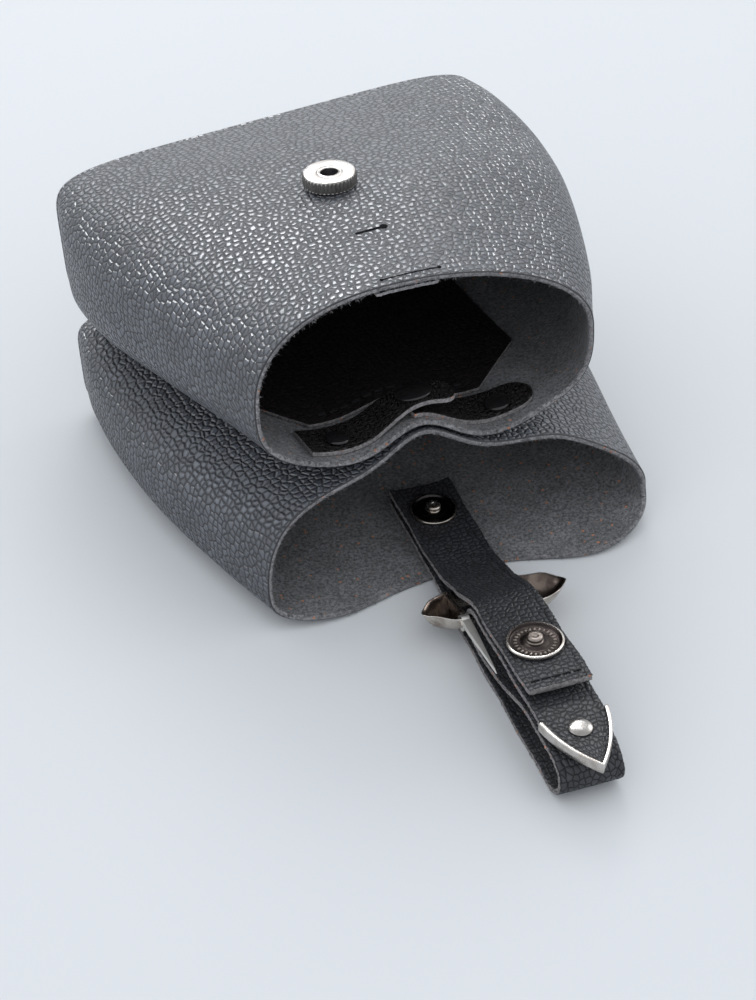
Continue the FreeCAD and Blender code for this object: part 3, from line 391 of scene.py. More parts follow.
def make_fibre():
    """Raw leather fibre: a mat of short strands, pale ends and a few rust-coloured ones."""
    tree, given, out = new_group(
        "raw_fibre",
        [("Place", VECTOR, None), ("Ground", COLOUR, (0.1, 0.1, 0.1, 1)),
         ("Pale", COLOUR, (0.4, 0.4, 0.4, 1)), ("Rust", COLOUR, (0.5, 0.2, 0.1, 1)),
         ("Fleck", FLOAT, 0.66)],
        [("Color", COLOUR), ("Height", FLOAT)])
    place = given.outputs["Place"]
    mat = noise(tree, place, 950.0, 5.0, Roughness=0.75)
    broad = noise(tree, place, 90.0, 3.0)
    strands = noise(tree, place, 1500.0, 3.0, Distortion=1.8)
    pale = ramp(tree, strands, given.outputs["Fleck"], 0.78)
    specks = add(tree, "ShaderNodeTexVoronoi", {"Vector": place, "Scale": 520.0,
                                                "Randomness": 1.0})
    chosen = add(tree, "ShaderNodeSeparateColor", {0: specks.outputs["Color"]})
    near = ramp(tree, specks.outputs["Distance"], 0.14, 0.32, 1.0, 0.0)
    rust = maths(tree, "MULTIPLY", near, maths(tree, "GREATER_THAN", chosen.outputs[0], 0.86))
    patch = ramp(tree, broad, 0.3, 0.7, 0.85, 1.15)
    shade = maths(tree, "MULTIPLY", patch, ramp(tree, mat, 0.34, 0.66, 0.45, 1.6))
    dark = scaled(tree, given.outputs["Ground"], shade)
    ground = mix_colour(tree, pale, dark, given.outputs["Pale"])
    feed(tree, out.inputs, {"Color": mix_colour(tree, rust, ground, given.outputs["Rust"]),
                            "Height": maths(tree, "ADD", mat, pale)})
    return tree


def make_handling():
    """Marks of use on metal: faint cloudy smears and fine hairlines, as values from 0 to 1."""
    tree, given, out = new_group("handling_marks", [("Place", VECTOR, None)],
                                 [("Smear", FLOAT), ("Hairline", FLOAT)])
    smear = noise(tree, given.outputs["Place"], 240.0, 4.0)
    line = noise(tree, given.outputs["Place"], 900.0, 2.0, Distortion=3.0)
    feed(tree, out.inputs, {"Smear": ramp(tree, smear, 0.35, 0.68),
                            "Hairline": ramp(tree, line, 0.60, 0.66)})
    return tree


PEBBLE = make_pebble()
FIBRE = make_fibre()
HANDLING = make_handling()


def new_material(name):
    """Material, its tree and the shader that makes its surface."""
    material = bpy.data.materials.new(name)
    material.use_nodes = True
    tree = material.node_tree
    tree.nodes.clear()
    out = add(tree, "ShaderNodeOutputMaterial")
    shader = add(tree, "ShaderNodeBsdfPrincipled")
    tree.links.new(shader.outputs[0], out.inputs["Surface"])
    return material, tree, shader


def place_of(tree, where="Object"):
    """Where a pattern is read: Object is the place in the bag, UV the piece's own flat cut."""
    return add(tree, "ShaderNodeTexCoord").outputs[where]


def relief(tree, height, strength, distance):
    """Bump of the given height; distance in metres."""
    made = add(tree, "ShaderNodeBump", {"Height": height, "Strength": strength,
                                        "Distance": distance})
    return made.outputs[0]


def grain_leather(name, face, crease_shade, gloss, rough, bump, cells=400.0, where="UV", coat=0.0):
    """Pebbled leather: the creases painted dark as painted shade, which leaves the cell tops paler
    as a painted sheen; the tops are also smoother than the creases.
    """
    material, tree, shader = new_material(name)
    place = place_of(tree, where)
    pebble = add(tree, "ShaderNodeGroup", {"Place": place, "Cells": cells}, node_tree=PEBBLE)
    cloud = ramp(tree, noise(tree, place, 22.0, 3.0), 0.3, 0.7, 0.88, 1.12)
    tone = maths(tree, "MULTIPLY", ramp(tree, pebble.outputs["Tone"], 0.0, 1.0, 0.78, 1.22), cloud)
    creased = maths(tree, "MULTIPLY", pebble.outputs["Crease"], 0.28)
    # Base colour: the crease mask mixes in the second colour, painted shade in the creases; the
    # paler tops against it are a painted sheen.
    feed(tree, shader.inputs, {
        "Base Color": mix_colour(tree, pebble.outputs["Crease"], scaled(tree, face, tone), crease_shade),
        "Roughness": maths(tree, "ADD", rough, creased),
        "Specular IOR Level": gloss,
        "Coat Weight": coat,
        "Coat Roughness": 0.22,
        "Normal": relief(tree, pebble.outputs["Height"], bump, 0.0005)})
    return material


def fibre_leather(name, ground, pale, rust, fleck, bump):
    """Flesh side or cut edge of the leather: matt fibres with pale and rust-coloured ends."""
    material, tree, shader = new_material(name)
    fibre = add(tree, "ShaderNodeGroup", {"Place": place_of(tree), "Ground": ground, "Pale": pale,
                                          "Rust": rust, "Fleck": fleck}, node_tree=FIBRE)
    feed(tree, shader.inputs, {
        "Base Color": fibre.outputs["Color"],
        "Roughness": 0.92,
        "Specular IOR Level": 0.25,
        "Sheen Weight": 0.12,
        "Sheen Roughness": 0.5,
        "Normal": relief(tree, fibre.outputs["Height"], bump, 0.00035)})
    return material


def smooth_leather(name, colour, rough, gloss=0.5):
    """Smooth lining leather: fine pores and faint long creases."""
    material, tree, shader = new_material(name)
    place = place_of(tree)
    creases = noise(tree, place, 60.0, 4.0, Distortion=1.0)
    tone = ramp(tree, creases, 0.3, 0.7, 0.75, 1.3)
    feed(tree, shader.inputs, {
        "Base Color": scaled(tree, colour, tone),
        "Roughness": ramp(tree, creases, 0.3, 0.7, rough - 0.08, rough + 0.1),
        "Specular IOR Level": gloss,
        "Normal": relief(tree, noise(tree, place, 1800.0, 3.0), 0.4, 0.0001)})
    return material


def plated(name, colour, rough, tarnish, amount, metallic=1.0):
    """Plated metal with smears, hairlines and tarnish where the smears lie."""
    material, tree, shader = new_material(name)
    marks = add(tree, "ShaderNodeGroup", {"Place": place_of(tree)}, node_tree=HANDLING)
    share = maths(tree, "MULTIPLY", marks.outputs["Smear"], amount)
    smeared = maths(tree, "ADD", rough, maths(tree, "MULTIPLY", marks.outputs["Smear"], 0.10))
    scratched = maths(tree, "MULTIPLY", marks.outputs["Hairline"], 0.08)
    feed(tree, shader.inputs, {
        "Base Color": mix_colour(tree, share, colour, tarnish),
        "Roughness": maths(tree, "ADD", smeared, scratched),
        "Metallic": metallic,
        "Normal": relief(tree, marks.outputs["Hairline"], 0.15, 0.00003)})
    return material


def thread_finish(name, colour):
    """Waxed thread: twisted strands seen as slanting bands."""
    material, tree, shader = new_material(name)
    wave = add(tree, "ShaderNodeTexWave", {"Vector": place_of(tree), "Scale": 900.0,
                                           "Distortion": 1.0}, bands_direction="DIAGONAL")
    bands = wave.outputs["Fac"]
    pale = tuple(2.2 * c for c in colour)
    feed(tree, shader.inputs, {
        "Base Color": mix_colour(tree, ramp(tree, bands, 0.2, 0.8), colour, pale),
        "Roughness": ramp(tree, bands, 0.0, 1.0, 0.5, 0.65),
        "Normal": relief(tree, bands, 0.5, 0.0001)})
    return material


# The second colour of each grain is painted shade for its creases.
body_grain = grain_leather("body_grain", (0.080, 0.086, 0.104), (0.011, 0.011, 0.014), 0.80,
                           0.32, 1.0, cells=430.0)
strap_grain = grain_leather("strap_grain", (0.033, 0.034, 0.040), (0.006, 0.006, 0.007), 0.4,
                            0.46, 0.5, cells=520.0)
glazed_grain = grain_leather("glazed_grain", (0.021, 0.018, 0.018), (0.004, 0.004, 0.004), 0.6,
                             0.24, 0.6, cells=480.0, coat=0.4)
pocket_grain = grain_leather("pocket_grain", (0.013, 0.010, 0.011), (0.005, 0.003, 0.003), 0.4,
                             0.5, 0.4, where="Object")
flesh_side = fibre_leather("flesh_side", (0.160, 0.161, 0.168), (0.50, 0.50, 0.52),
                           (0.58, 0.24, 0.12), 0.58, 0.8)
cut_edge = fibre_leather("cut_edge", (0.23, 0.225, 0.235), (0.60, 0.59, 0.60), (0.62, 0.26, 0.13),
                         0.50, 1.0)
strap_edge = fibre_leather("strap_edge", (0.22, 0.205, 0.21), (0.55, 0.52, 0.53),
                           (0.66, 0.30, 0.18), 0.50, 1.0)
burnished = smooth_leather("burnished_edge", (0.022, 0.022, 0.025), 0.5)
# Near-black and almost without gloss: painted shade for the slit and the pressed line on the roof.
pressed = smooth_leather("painted_slit_and_groove_shade", (0.003, 0.003, 0.004), 0.85, gloss=0.05)
lining = smooth_leather("lining", (0.020, 0.019, 0.021), 0.45)
thread = thread_finish("waxed_thread", (0.008, 0.008, 0.009))
bright_nickel = plated("bright_nickel", (0.62, 0.585, 0.55), 0.22, (0.33, 0.285, 0.25), 0.6)
aged_nickel = plated("aged_nickel", (0.66, 0.61, 0.55), 0.19, (0.27, 0.21, 0.17), 0.8)
bronze_hollow = plated("bronze_hollow", (0.17, 0.135, 0.115), 0.24, (0.04, 0.03, 0.027), 0.8)
dark_nickel = plated("dark_nickel", (0.055, 0.045, 0.042), 0.30, (0.02, 0.017, 0.016), 0.6)
rib_nickel = plated("rib_nickel", (0.30, 0.26, 0.235), 0.30, (0.09, 0.075, 0.065), 0.7)
black_nickel = plated("black_nickel", (0.045, 0.04, 0.042), 0.20, (0.02, 0.018, 0.018), 0.5)
# Paler than the buckle's other nickel: a painted highlight on the prong.
prong_highlight_nickel = plated("prong_highlight_nickel", (0.86, 0.84, 0.80), 0.38, (0.62, 0.58, 0.54), 0.4)
snap_nickel = plated("snap_nickel", (0.36, 0.345, 0.33), 0.26, (0.15, 0.135, 0.125), 0.7)
black_enamel = plated("black_enamel", (0.010, 0.009, 0.010), 0.07, (0.02, 0.018, 0.018), 0.4, 0.0)
magnet_face = plated("magnet_face", (0.16, 0.155, 0.16), 0.40, (0.05, 0.05, 0.055), 0.6)


# ---------------------------------------------------------------- pouches
def row_value(row, t):
    """Value of a row at station t: cubic between stations, slopes from the neighbours."""
    row = np.asarray(row, float)
    t = np.asarray(t, float)
    last = len(STATIONS) - 1
    ahead = np.minimum(np.arange(last + 1) + 1, last)
    behind = np.maximum(np.arange(last + 1) - 1, 0)
    slope = (row[ahead] - row[behind]) / (STATIONS[ahead] - STATIONS[behind])
    k = np.clip(np.searchsorted(STATIONS, t, side="right") - 1, 0, last - 1)
    h = STATIONS[k + 1] - STATIONS[k]
    u = (t - STATIONS[k]) / h
    rise = (3 * u ** 2 - 2 * u ** 3) * (row[k + 1] - row[k])
    bend = (u ** 3 - 2 * u ** 2 + u) * slope[k] + (u ** 3 - u ** 2) * slope[k + 1]
    return row[k] + rise + h * bend


def bell(x, size):
    """Smooth rise: its height times exp(-((x - middle) / spread)^2)."""
    return size[0] * np.exp(-((x - size[1]) / size[2]) ** 2)


def parting(x, y):
    """Height of the parting: a ramp to the mouth that falls to the right, and two smooth
    rises that grow towards the mouth."""
    s = np.clip((PARTING_START_Y - y) / BAG_DEPTH, 0.0, 1.15)
    ramp_up = BASE_SPLIT + s * (MOUTH_SPLIT - SPLIT_SLOPE * x - BASE_SPLIT)
    return ramp_up + s ** 2.5 * (bell(x, PINCH) + bell(x, PINCH_RIGHT))


def plan(pouch, t, inset):
    """Middle, half width, place along Y and lean of the section at t."""
    left = -HALF_WIDTH * row_value(pouch["left"], t) + inset
    right = HALF_WIDTH * row_value(pouch["right"], t) - inset
    y = pouch["base_y"] - pouch["length"] * row_value(pouch["along"], t)
    return (left + right) / 2, (right - left) / 2, y, row_value(pouch["lean"], t)


def height_over(pouch, x, t, over, inset):
    """Height of a section above x: widest height plus the reach times (1 - |share|^n)^(1/n)."""
    mid, half, y, lean = plan(pouch, t, inset)
    wide = row_value(pouch["wide"], t)
    split_y = y + lean * (MOUTH_SPLIT - pouch["level"])
    n_over = np.where(x >= mid, row_value(pouch["n_right"], t), row_value(pouch["n_left"], t))
    n = np.where(over, n_over, row_value(pouch["n_low"], t))
    split = parting(x, split_y)
    if pouch is UPPER:
        top = BAG_HEIGHT + row_value(pouch["top"], t) * (MOUTH_HEIGHT - BAG_HEIGHT)
        roof = top - row_value(pouch["tilt"], t) * (x - mid) - inset
        floor = split + PARTING_GAP / 2 + inset
    else:
        roof = split - PARTING_GAP / 2 - inset
        floor = 0.0 * split + inset
    reach = np.where(over, roof, floor) - wide
    share = np.clip(np.abs(x - mid) / half, 0.0, 1.0)
    return wide + reach * (1 - share ** n) ** (1 / n)


def surface_height(pouch, x, y, over, inset):
    """Height of the pouch's roof or floor above (x, y): the leaning station through the point
    is found by halving, four times over as the height settles."""
    x, y = np.broadcast_arrays(np.asarray(x, float), np.asarray(y, float))
    z = np.full(x.shape, MOUTH_SPLIT if not over or pouch is LOWER else MOUTH_HEIGHT)
    for _ in range(SETTLINGS):
        low, high = np.full(x.shape, -0.05), np.full(x.shape, LAST)
        for _ in range(HALVINGS):
            t = (low + high) / 2
            _, _, middle, lean = plan(pouch, t, 0.0)
            beyond = middle + lean * (z - pouch["level"]) > y
            low, high = np.where(beyond, t, low), np.where(beyond, high, t)
        z = height_over(pouch, x, t, over, inset)
    return z


def upper_floor(x, y):
    """Height of the upper pouch's floor, on its inside."""
    return surface_height(UPPER, x, y, False, WALL)


def upper_roof(x, y, inset=0.0):
    """Height of the upper pouch's roof, the inset below its outside."""
    return surface_height(UPPER, x, y, True, inset)


def tube_grid(pouch, cols):
    """Outer skin of a pouch: sections evenly walked round, one row each from base to lip."""
    t = np.linspace(0.0, LAST, TUBE_ROWS)[:, None]
    a = np.linspace(-np.pi / 2, 3 * np.pi / 2, 1441)[None, :]
    mid, half, y, lean = plan(pouch, t, 0.0)
    over = np.sin(a) >= 0
    n_over = np.where(np.cos(a) >= 0, row_value(pouch["n_right"], t),
                      row_value(pouch["n_left"], t))
    n = np.where(over, n_over, row_value(pouch["n_low"], t))
    x = mid + half * np.sign(np.cos(a)) * np.abs(np.cos(a)) ** (2 / n)
    z = height_over(pouch, x, t + 0 * a, over, 0.0)
    dense = np.stack([x, y + lean * (z - pouch["level"]), z], -1)
    grid = np.empty((TUBE_ROWS, cols, 3))
    for section, row in zip(dense, grid):
        far = walked(section)
        goal = far[-1] * np.arange(cols) / cols
        for axis in range(3):
            row[:, axis] = np.interp(goal, far, section[:, axis])
    return grid


def lip_station(pouch, grid):
    """Station of the lip at each column: the leaning mouth plane, and for the lower pouch the
    two lobes of its bottom lip, faded in near the ground."""
    t = np.linspace(0.0, LAST, len(grid))
    mouth = np.full(grid.shape[1], 1.0)
    if pouch is LOWER:
        _, _, y1, lean = plan(pouch, 1.0, 0.0)
        edge = y1 + lean * (LIP_TOP - pouch["level"])
        x, y, z = grid[..., 0], grid[..., 1], grid[..., 2]
        past = y - (edge - (bell(x, LOBE_RIGHT) + bell(x, LOBE_LEFT)))
        first = np.argmax(past < 0, axis=0)
        cols = np.arange(grid.shape[1])
        a, b = past[first - 1, cols], past[first, cols]
        low = t[first - 1] + (t[first] - t[first - 1]) * a / (a - b)
        low = np.where(past[-1] < 0, low, LAST)
        at_mouth = np.argmin(np.abs(t - 1.0))
        share = 1 - smooth_step(z[at_mouth], 2.0, 12.0)
        mouth = 1.0 + (low - 1.0) * share
    return mouth


def walk_to_lip(pouch, cols):
    """Skin from the base to the lip: each column read between stations 0 and its own lip."""
    grid = tube_grid(pouch, cols)
    along = np.linspace(0.0, 1.0, SKIN_ROWS)[:, None] * lip_station(pouch, grid)[None, :]
    share = along / LAST * (len(grid) - 1)
    low = np.clip(share.astype(int), 0, len(grid) - 2)
    part = (share - low)[..., None]
    cols = np.arange(grid.shape[1])[None, :]
    return grid[low, cols] * (1 - part) + grid[low + 1, cols] * part


def cut_of(grid):
    """Flat cut of a wrapped grid: the length walked down each column, the length walked round
    each row measured from its middle, and the whole way round."""
    down = np.linalg.norm(np.diff(grid, axis=0, prepend=grid[:1]), axis=-1).cumsum(0)
    step = np.linalg.norm(np.roll(grid, -1, 1) - grid, axis=-1)
    whole = step.sum(1, keepdims=True) + 0 * step
    around = (np.arange(grid.shape[1]) / grid.shape[1] - 0.5)[None, :] * whole
    return np.stack([down, around], -1).reshape(-1, 2), whole.ravel()


RIM_DEPTHS = (0.10, 0.22, 0.40, 0.60, 0.80, 0.95)
RIM_WEAR = (0.0, 0.3, 1.0, 1.2, 1.2, 1.0)
RIM_BULGE = 0.45
RAGGED = 0.10


def pouch_shell(name, pouch, dents):
    """Closed leather shell: outer skin, a rounded ragged lip, the inner skin one wall inside
    along the normals, and the base end.  The lip bulges by RIM_BULGE times the height of a
    circle over its depth."""
    outer = walk_to_lip(pouch, SKIN_COLS)
    normal = outward_normals(outer)
    outer = outer + normal * dents(outer)[..., None]
    if pouch is LOWER:
        outer[..., 2] = np.maximum(outer[..., 2], 0.0)
    inner = outer - normal * WALL
    ahead = outer[-1] - outer[-2]
    ahead /= np.linalg.norm(ahead, axis=-1, keepdims=True)
    depth = np.array(RIM_DEPTHS)[:, None, None]
    bulge = RIM_BULGE * np.sqrt(np.clip(1 - (2 * depth - 1) ** 2, 0, 1))
    ragged = (rng.normal(0.0, RAGGED, (len(depth), SKIN_COLS, 1))
              * np.array(RIM_WEAR)[:, None, None])
    rim = outer[-1] + (inner[-1] - outer[-1]) * depth + ahead * (bulge + ragged)
    inner[-1] += rng.normal(0.0, 0.08, (SKIN_COLS, 1)) * normal[-1]
    skin = np.concatenate([outer, rim, inner[::-1]])
    faces = lattice(len(skin), SKIN_COLS, wrap_rows=True, wrap_cols=True)
    grain, edge, flesh, dark_edge = 0, 1, 2, 3
    which = np.full(len(skin), flesh)
    which[:SKIN_ROWS - 1] = grain
    which[SKIN_ROWS - 1:SKIN_ROWS + 1] = dark_edge
    which[SKIN_ROWS + 1:SKIN_ROWS + len(depth)] = edge
    which[-1] = edge
    uv, turn = cut_of(skin)
    made = put_mesh(name, skin, [faces], [body_grain, cut_edge, flesh_side, burnished],
                    np.repeat(which, SKIN_COLS), uv, turn)
    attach(made, "bag")
    return made


def base_cap(name, pouch, rows=26, sag=0.8):
    """Flat panel across the base: the end section shrunk ring by ring to its middle, with a
    rounded edge, one wall thick; it sags by sag times 1 - share^2."""
    ring = tube_grid(pouch, SKIN_COLS)[0]
    lean = float(row_value(pouch["lean"], 0.0))
    out = np.array([0.0, 1.0, -lean])
    out /= np.linalg.norm(out)
    centre = ring.mean(0)
    scale = np.concatenate([np.linspace(0.02, 0.97, rows), [0.985, 0.995, 1.0, 1.0, 0.995, 0.985],
                            np.linspace(0.97, 0.02, rows)])
    lift = np.concatenate([np.full(rows, 0.0), [0.02, 0.15, 0.5, 1.3, 1.65, 1.78],
                           np.full(rows, WALL)])
    lift -= sag * (1 - scale ** 2)
    grid = centre + (ring - centre)[None] * scale[:, None, None] + out * lift[:, None, None]
    points = np.concatenate([grid.reshape(-1, 3), [grid[0].mean(0), grid[-1].mean(0)]])
    if pouch is LOWER:
        points[:, 2] = np.maximum(points[:, 2], 0.0)
    made = put_mesh(name, points, closed_tube(len(scale), SKIN_COLS), [body_grain], None,
                    points[:, [0, 2]])
    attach(made, "bag")
    return made


def upper_dents(p):
    """Slow swells of the soft panel, none at the base: a few long waves."""
    x, y, z = p[..., 0], p[..., 1], p[..., 2]
    wave = (0.5 * np.sin(x / 23 + 0.6) * np.sin(y / 31 + 1.1) + 0.35 * np.sin(x / 13 - y / 17)
            + 0.25 * np.sin(y / 9 + z / 14))
    fade = smooth_step(-y, -70, -20) * (1 - 0.7 * smooth_step(-y, 30, 60))
    return wave * fade * np.where(z > 66, 1.0, 0.25)


def lower_dents(p):
    """Slow swells of the lower pouch's sides, none near the ground, the parting or the base."""
    x, y, z = p[..., 0], p[..., 1], p[..., 2]
    wave = 0.5 * np.sin(x / 19 + 2) * np.sin(y / 27) + 0.3 * np.sin(y / 11 + z / 8)
    return wave * smooth_step(z, 6, 16) * (1 - smooth_step(z, 26, 34)) * smooth_step(-y, -55, -20)


def rim_fibres(name, pouch, count=1500, cols=600):
    """Frayed ends along the lip: small closed tufts, each a pyramid on a three-cornered foot,
    leaning out of the lip at random."""
    outer = walk_to_lip(pouch, cols)
    normal = outward_normals(outer)
    at = rng.integers(0, cols, count)
    edge, out = outer[-1][at], normal[-1][at]
    ahead = outer[-1][at] - outer[-2][at]
    ahead /= np.linalg.norm(ahead, axis=1, keepdims=True)
    along = np.cross(ahead, out)
    foot = edge - out * rng.uniform(0.5, WALL, (count, 1)) + ahead * 0.25
    foot += along * rng.uniform(-0.4, 0.4, (count, 1))
    lean = ahead * rng.uniform(0.3, 1.0, (count, 1)) + out * rng.normal(-0.3, 0.55, (count, 1))
    lean += along * rng.normal(0.0, 0.6, (count, 1))
    tip = foot + lean * rng.uniform(0.4, 1.25, (count, 1))
    wide = rng.uniform(0.10, 0.24, (count, 1))
    corners = [foot + along * wide, foot - along * wide * 0.5 + out * wide * 0.8,
               foot - along * wide * 0.5 - out * wide * 0.8, tip]
    points = np.stack(corners, 1)
    points[..., 2] = np.maximum(points[..., 2], 0.0)
    four = np.array([[0, 2, 1], [0, 1, 3], [1, 2, 3], [2, 0, 3]])
    made = put_mesh(name, points, [copies(four, 4, count)], [cut_edge])
    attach(made, "bag")


upper_shell = pouch_shell("upper_pouch", UPPER, upper_dents)
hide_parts("upper_pouch_shell")
lower_shell = pouch_shell("lower_pouch", LOWER, lower_dents)
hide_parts("lower_pouch_shell")
upper_cap = base_cap("upper_base", UPPER)
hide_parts("upper_base_panel")
lower_cap = base_cap("lower_base", LOWER)
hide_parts("lower_base_panel")
rim_fibres("upper_lip_fibres", UPPER)
rim_fibres("lower_lip_fibres", LOWER)


# ---------------------------------------------------------------- pieces inside the upper mouth
TAB_T = 1.8
TAB_FRONT_Y = UPPER_MOUTH_Y
TAB_BACK_Y = TAB_FRONT_Y + 15.0
TAB_BEND_X = -20.0
LEFT_TAB_X = (-43.0, 8.5)
RIGHT_TAB_X = (-8.0, 36.5)
TAB_CURL = 6.5
TAB_CURL_X = -13.0
TAB_ROUND = 2.3
TAB_MIDDLE_Y = (TAB_FRONT_Y + TAB_BACK_Y) / 2
TAB_BEND = 4.0


def left_lift(x):
    """Height of the left tab over the floor: flat at its rivet, then up over the right tab, and
    TAB_CURL times share^1.4 higher towards its free end."""
    over = (SEAT + TAB_T + 0.6) * smooth_step(x, TAB_BEND_X - TAB_BEND, RIGHT_TAB_X[0] - 1)
    share = np.clip((x - TAB_CURL_X) / (LEFT_TAB_X[1] - TAB_CURL_X), 0.0, 1.0)
    return SEAT + over + TAB_CURL * share ** 1.4


def tab_strip(name, x0, x1, lift, nx):
    """Tab on the pouch floor.  Its right end is rounded: the half width is multiplied by
    (1 - share^n)^(1/n), share being how far into the last half width a point lies and n
    TAB_ROUND."""
    half = (TAB_BACK_Y - TAB_FRONT_Y) / 2
    x = x0 + (x1 - x0) * (0.5 - 0.5 * np.cos(np.linspace(0.0, np.pi, nx)))
    share = np.clip((x - x1 + half) / half, 0.0, 0.995)
    wide = half * (1 - share ** TAB_ROUND) ** (1 / TAB_ROUND)
    v = np.linspace(-1.0, 1.0, 26)
    gx = np.repeat(x[:, None], len(v), 1)
    gy = TAB_MIDDLE_Y + wide[:, None] * v[None, :]
    low = np.stack([gx, gy, upper_floor(gx, gy) + lift(gx)], -1)
    worn = 1 - 0.12 * np.abs(v[None, :]) ** 8
    made = slab(name, low + UP * (TAB_T * worn)[..., None], low,
                [glazed_grain, strap_edge, glazed_grain])
    soften(made, 0.25)
    return made


def flat_lift(x):
    """Height over the floor of what lies flat on it."""
    return SEAT + 0.0 * x


left_tab = tab_strip("left_tab", *LEFT_TAB_X, left_lift, 90)
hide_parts("left_tab_base", "left_tab_flap")
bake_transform(left_tab)
right_tab = tab_strip("right_tab", *RIGHT_TAB_X, flat_lift, 80)
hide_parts("right_tab")
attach(right_tab, "bag")


POCKET_X = (-52.0, 46.0)
POCKET_FRONT_X = (-36.0, 24.0)
POCKET_Y = (UPPER_MOUTH_Y + 18.5, UPPER["base_y"] - 33.0)
POCKET_SPLAY = 19.0
POCKET_T = 1.2


def slip_pocket():
    """Pocket panel on the pouch floor; its sides run out from the front corners in a straight
    slant over the splay, then straight back."""
    y = np.linspace(*POCKET_Y, 60)[:, None]
    share = np.clip((y - POCKET_Y[0]) / POCKET_SPLAY, 0.0, 1.0)
    left = POCKET_FRONT_X[0] + (POCKET_X[0] - POCKET_FRONT_X[0]) * share
    right = POCKET_FRONT_X[1] + (POCKET_X[1] - POCKET_FRONT_X[1]) * share
    x = left + (right - left) * np.linspace(0.0, 1.0, 80)[None, :]
    y = y + 0 * x
    low = np.stack([x, y, upper_floor(x, y) + SEAT], -1)
    made = slab("slip_pocket", low + UP * POCKET_T, low, [pocket_grain, strap_edge, lining])
    soften(made, 0.25)
    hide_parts("pocket_panel")
    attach(made, "bag")


slip_pocket()


PATCH_X = (-19.0, 2.0)
PATCH_DEPTH = 9.0
PATCH_T = 1.2


def mouth_patch():
    """Small reinforcement under the top lip: a grid just under the roof's inner side."""
    lean = float(row_value(UPPER["lean"], 1.0))
    edge = UPPER_MOUTH_Y + lean * (MOUTH_HEIGHT - UPPER["level"])
    x, y = np.meshgrid(np.linspace(*PATCH_X, 30), np.linspace(edge - 0.3, edge + PATCH_DEPTH, 14),
                       indexing="ij")
    y = y + np.where(y < edge + 1, rng.normal(0, 0.12, y.shape), 0)
    top = np.stack([x, y, upper_roof(x, y, WALL) - SEAT], -1)
    made = slab("mouth_patch", top, top - UP * PATCH_T, [lining, cut_edge, flesh_side])
    soften(made, 0.2)
    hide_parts("mouth_patch")
    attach(made, "bag")


mouth_patch()


# ---------------------------------------------------------------- strap
STRAP_W = 21.0
STRAP_T = 2.2
STRAP_X = 5.5
STRAP_Y = LOWER_MOUTH_Y + 22.5
SKEW = np.radians(5.0)
ALONG = np.array([-np.sin(SKEW), -np.cos(SKEW), 0.0])
ACROSS = np.array([np.cos(SKEW), -np.sin(SKEW), 0.0])
LOOP_BEND_U = 28.0
FLAP_BEND_U = 66.0
FLAP_END_U = 106.5
SEAM_U = 47.0
FLAP_SNAP_U = 86.5
BAR_U = 59.4
BAR_Z = 12.0
BAR_D = 3.0
PRONG_EYE = 1.1
TIP_START_U = 116.5
TIP_END_U = 139.5
TIP_WALL = 0.9
TIP_LIP = 0.55
TIP_RIVET_U = 122.0
TIP_PAD = 1.1                          # metal above and below the strap
TIP_FLANGE = 2.2                       # how far the lower side reaches in under it
TIP_BULGE = 0.16

# Heights of the strap's middle: on the ground, in the lower mouth, round and over the bar.
ON_GROUND = STRAP_T / 2 + 0.05
ROOT_LOW = WALL + STRAP_T / 2 + 0.4
ROOT_HIGH = ROOT_LOW + STRAP_T + 0.2
FOLD = BAR_D / 2 + PRONG_EYE + STRAP_T / 2 + 0.4
FOLD_SIDE = BAR_D / 2 + STRAP_T / 2 + 0.2
ON_BAR = BAR_Z + STRAP_T / 2 + 3.0
OVER_BAR = BAR_Z + 1.5 * STRAP_T + 3.0
ROOT_START = -13.5
# Middle lines of the straps, as place along and height.
UPPER_STRAP = [(ROOT_START, ROOT_HIGH + 0.2), (0.0, ROOT_HIGH), (16.0, ROOT_HIGH),
               (28.0, ROOT_HIGH + 0.7), (36.0, OVER_BAR - 9.7), (43.0, OVER_BAR - 6.9),
               (50.0, OVER_BAR - 3.7), (56.0, OVER_BAR - 0.3), (62.0, OVER_BAR + 2.0),
               (70.0, OVER_BAR + 2.6), (80.0, OVER_BAR + 2.9), (94.0, OVER_BAR + 4.1),
               (FLAP_END_U, OVER_BAR + 5.0)]
LOOP_STRAP = [(ROOT_START, ROOT_LOW), (0.0, ROOT_LOW), (14.0, ROOT_LOW), (27.0, ROOT_LOW),
              (36.0, ON_GROUND + 0.75), (46.0, ON_GROUND + 0.05), (60.0, ON_GROUND),
              (90.0, ON_GROUND), (112.0, ON_GROUND + 0.05), (121.0, ON_GROUND + 0.25),
              (128.4, ON_GROUND + 1.85), (131.6, 7.2), (129.8, 11.6), (124.5, 14.0),
              (116.0, 14.6), (106.0, 14.0), (96.0, 11.8), (86.0, 8.6), (76.0, 6.2),
              (66.0, 6.0), (BAR_U, BAR_Z - FOLD), (BAR_U - FOLD_SIDE, BAR_Z),
              (BAR_U, BAR_Z + FOLD), (66.0, ON_BAR + 1.4), (80.0, ON_BAR + 1.7),
              (96.0, ON_BAR + 2.3), (116.0, ON_BAR + 2.5), (TIP_END_U - 1.5, ON_BAR + 2.5)]


def in_bag(u, v, z):
    """Points given along, across and above the strap, in the bag's frame."""
    u, v, z = np.broadcast_arrays(*(np.asarray(k, float) for k in (u, v, z)))
    root = np.array([STRAP_X, STRAP_Y, 0.0])
    return root + u[..., None] * ALONG + v[..., None] * ACROSS + z[..., None] * UP


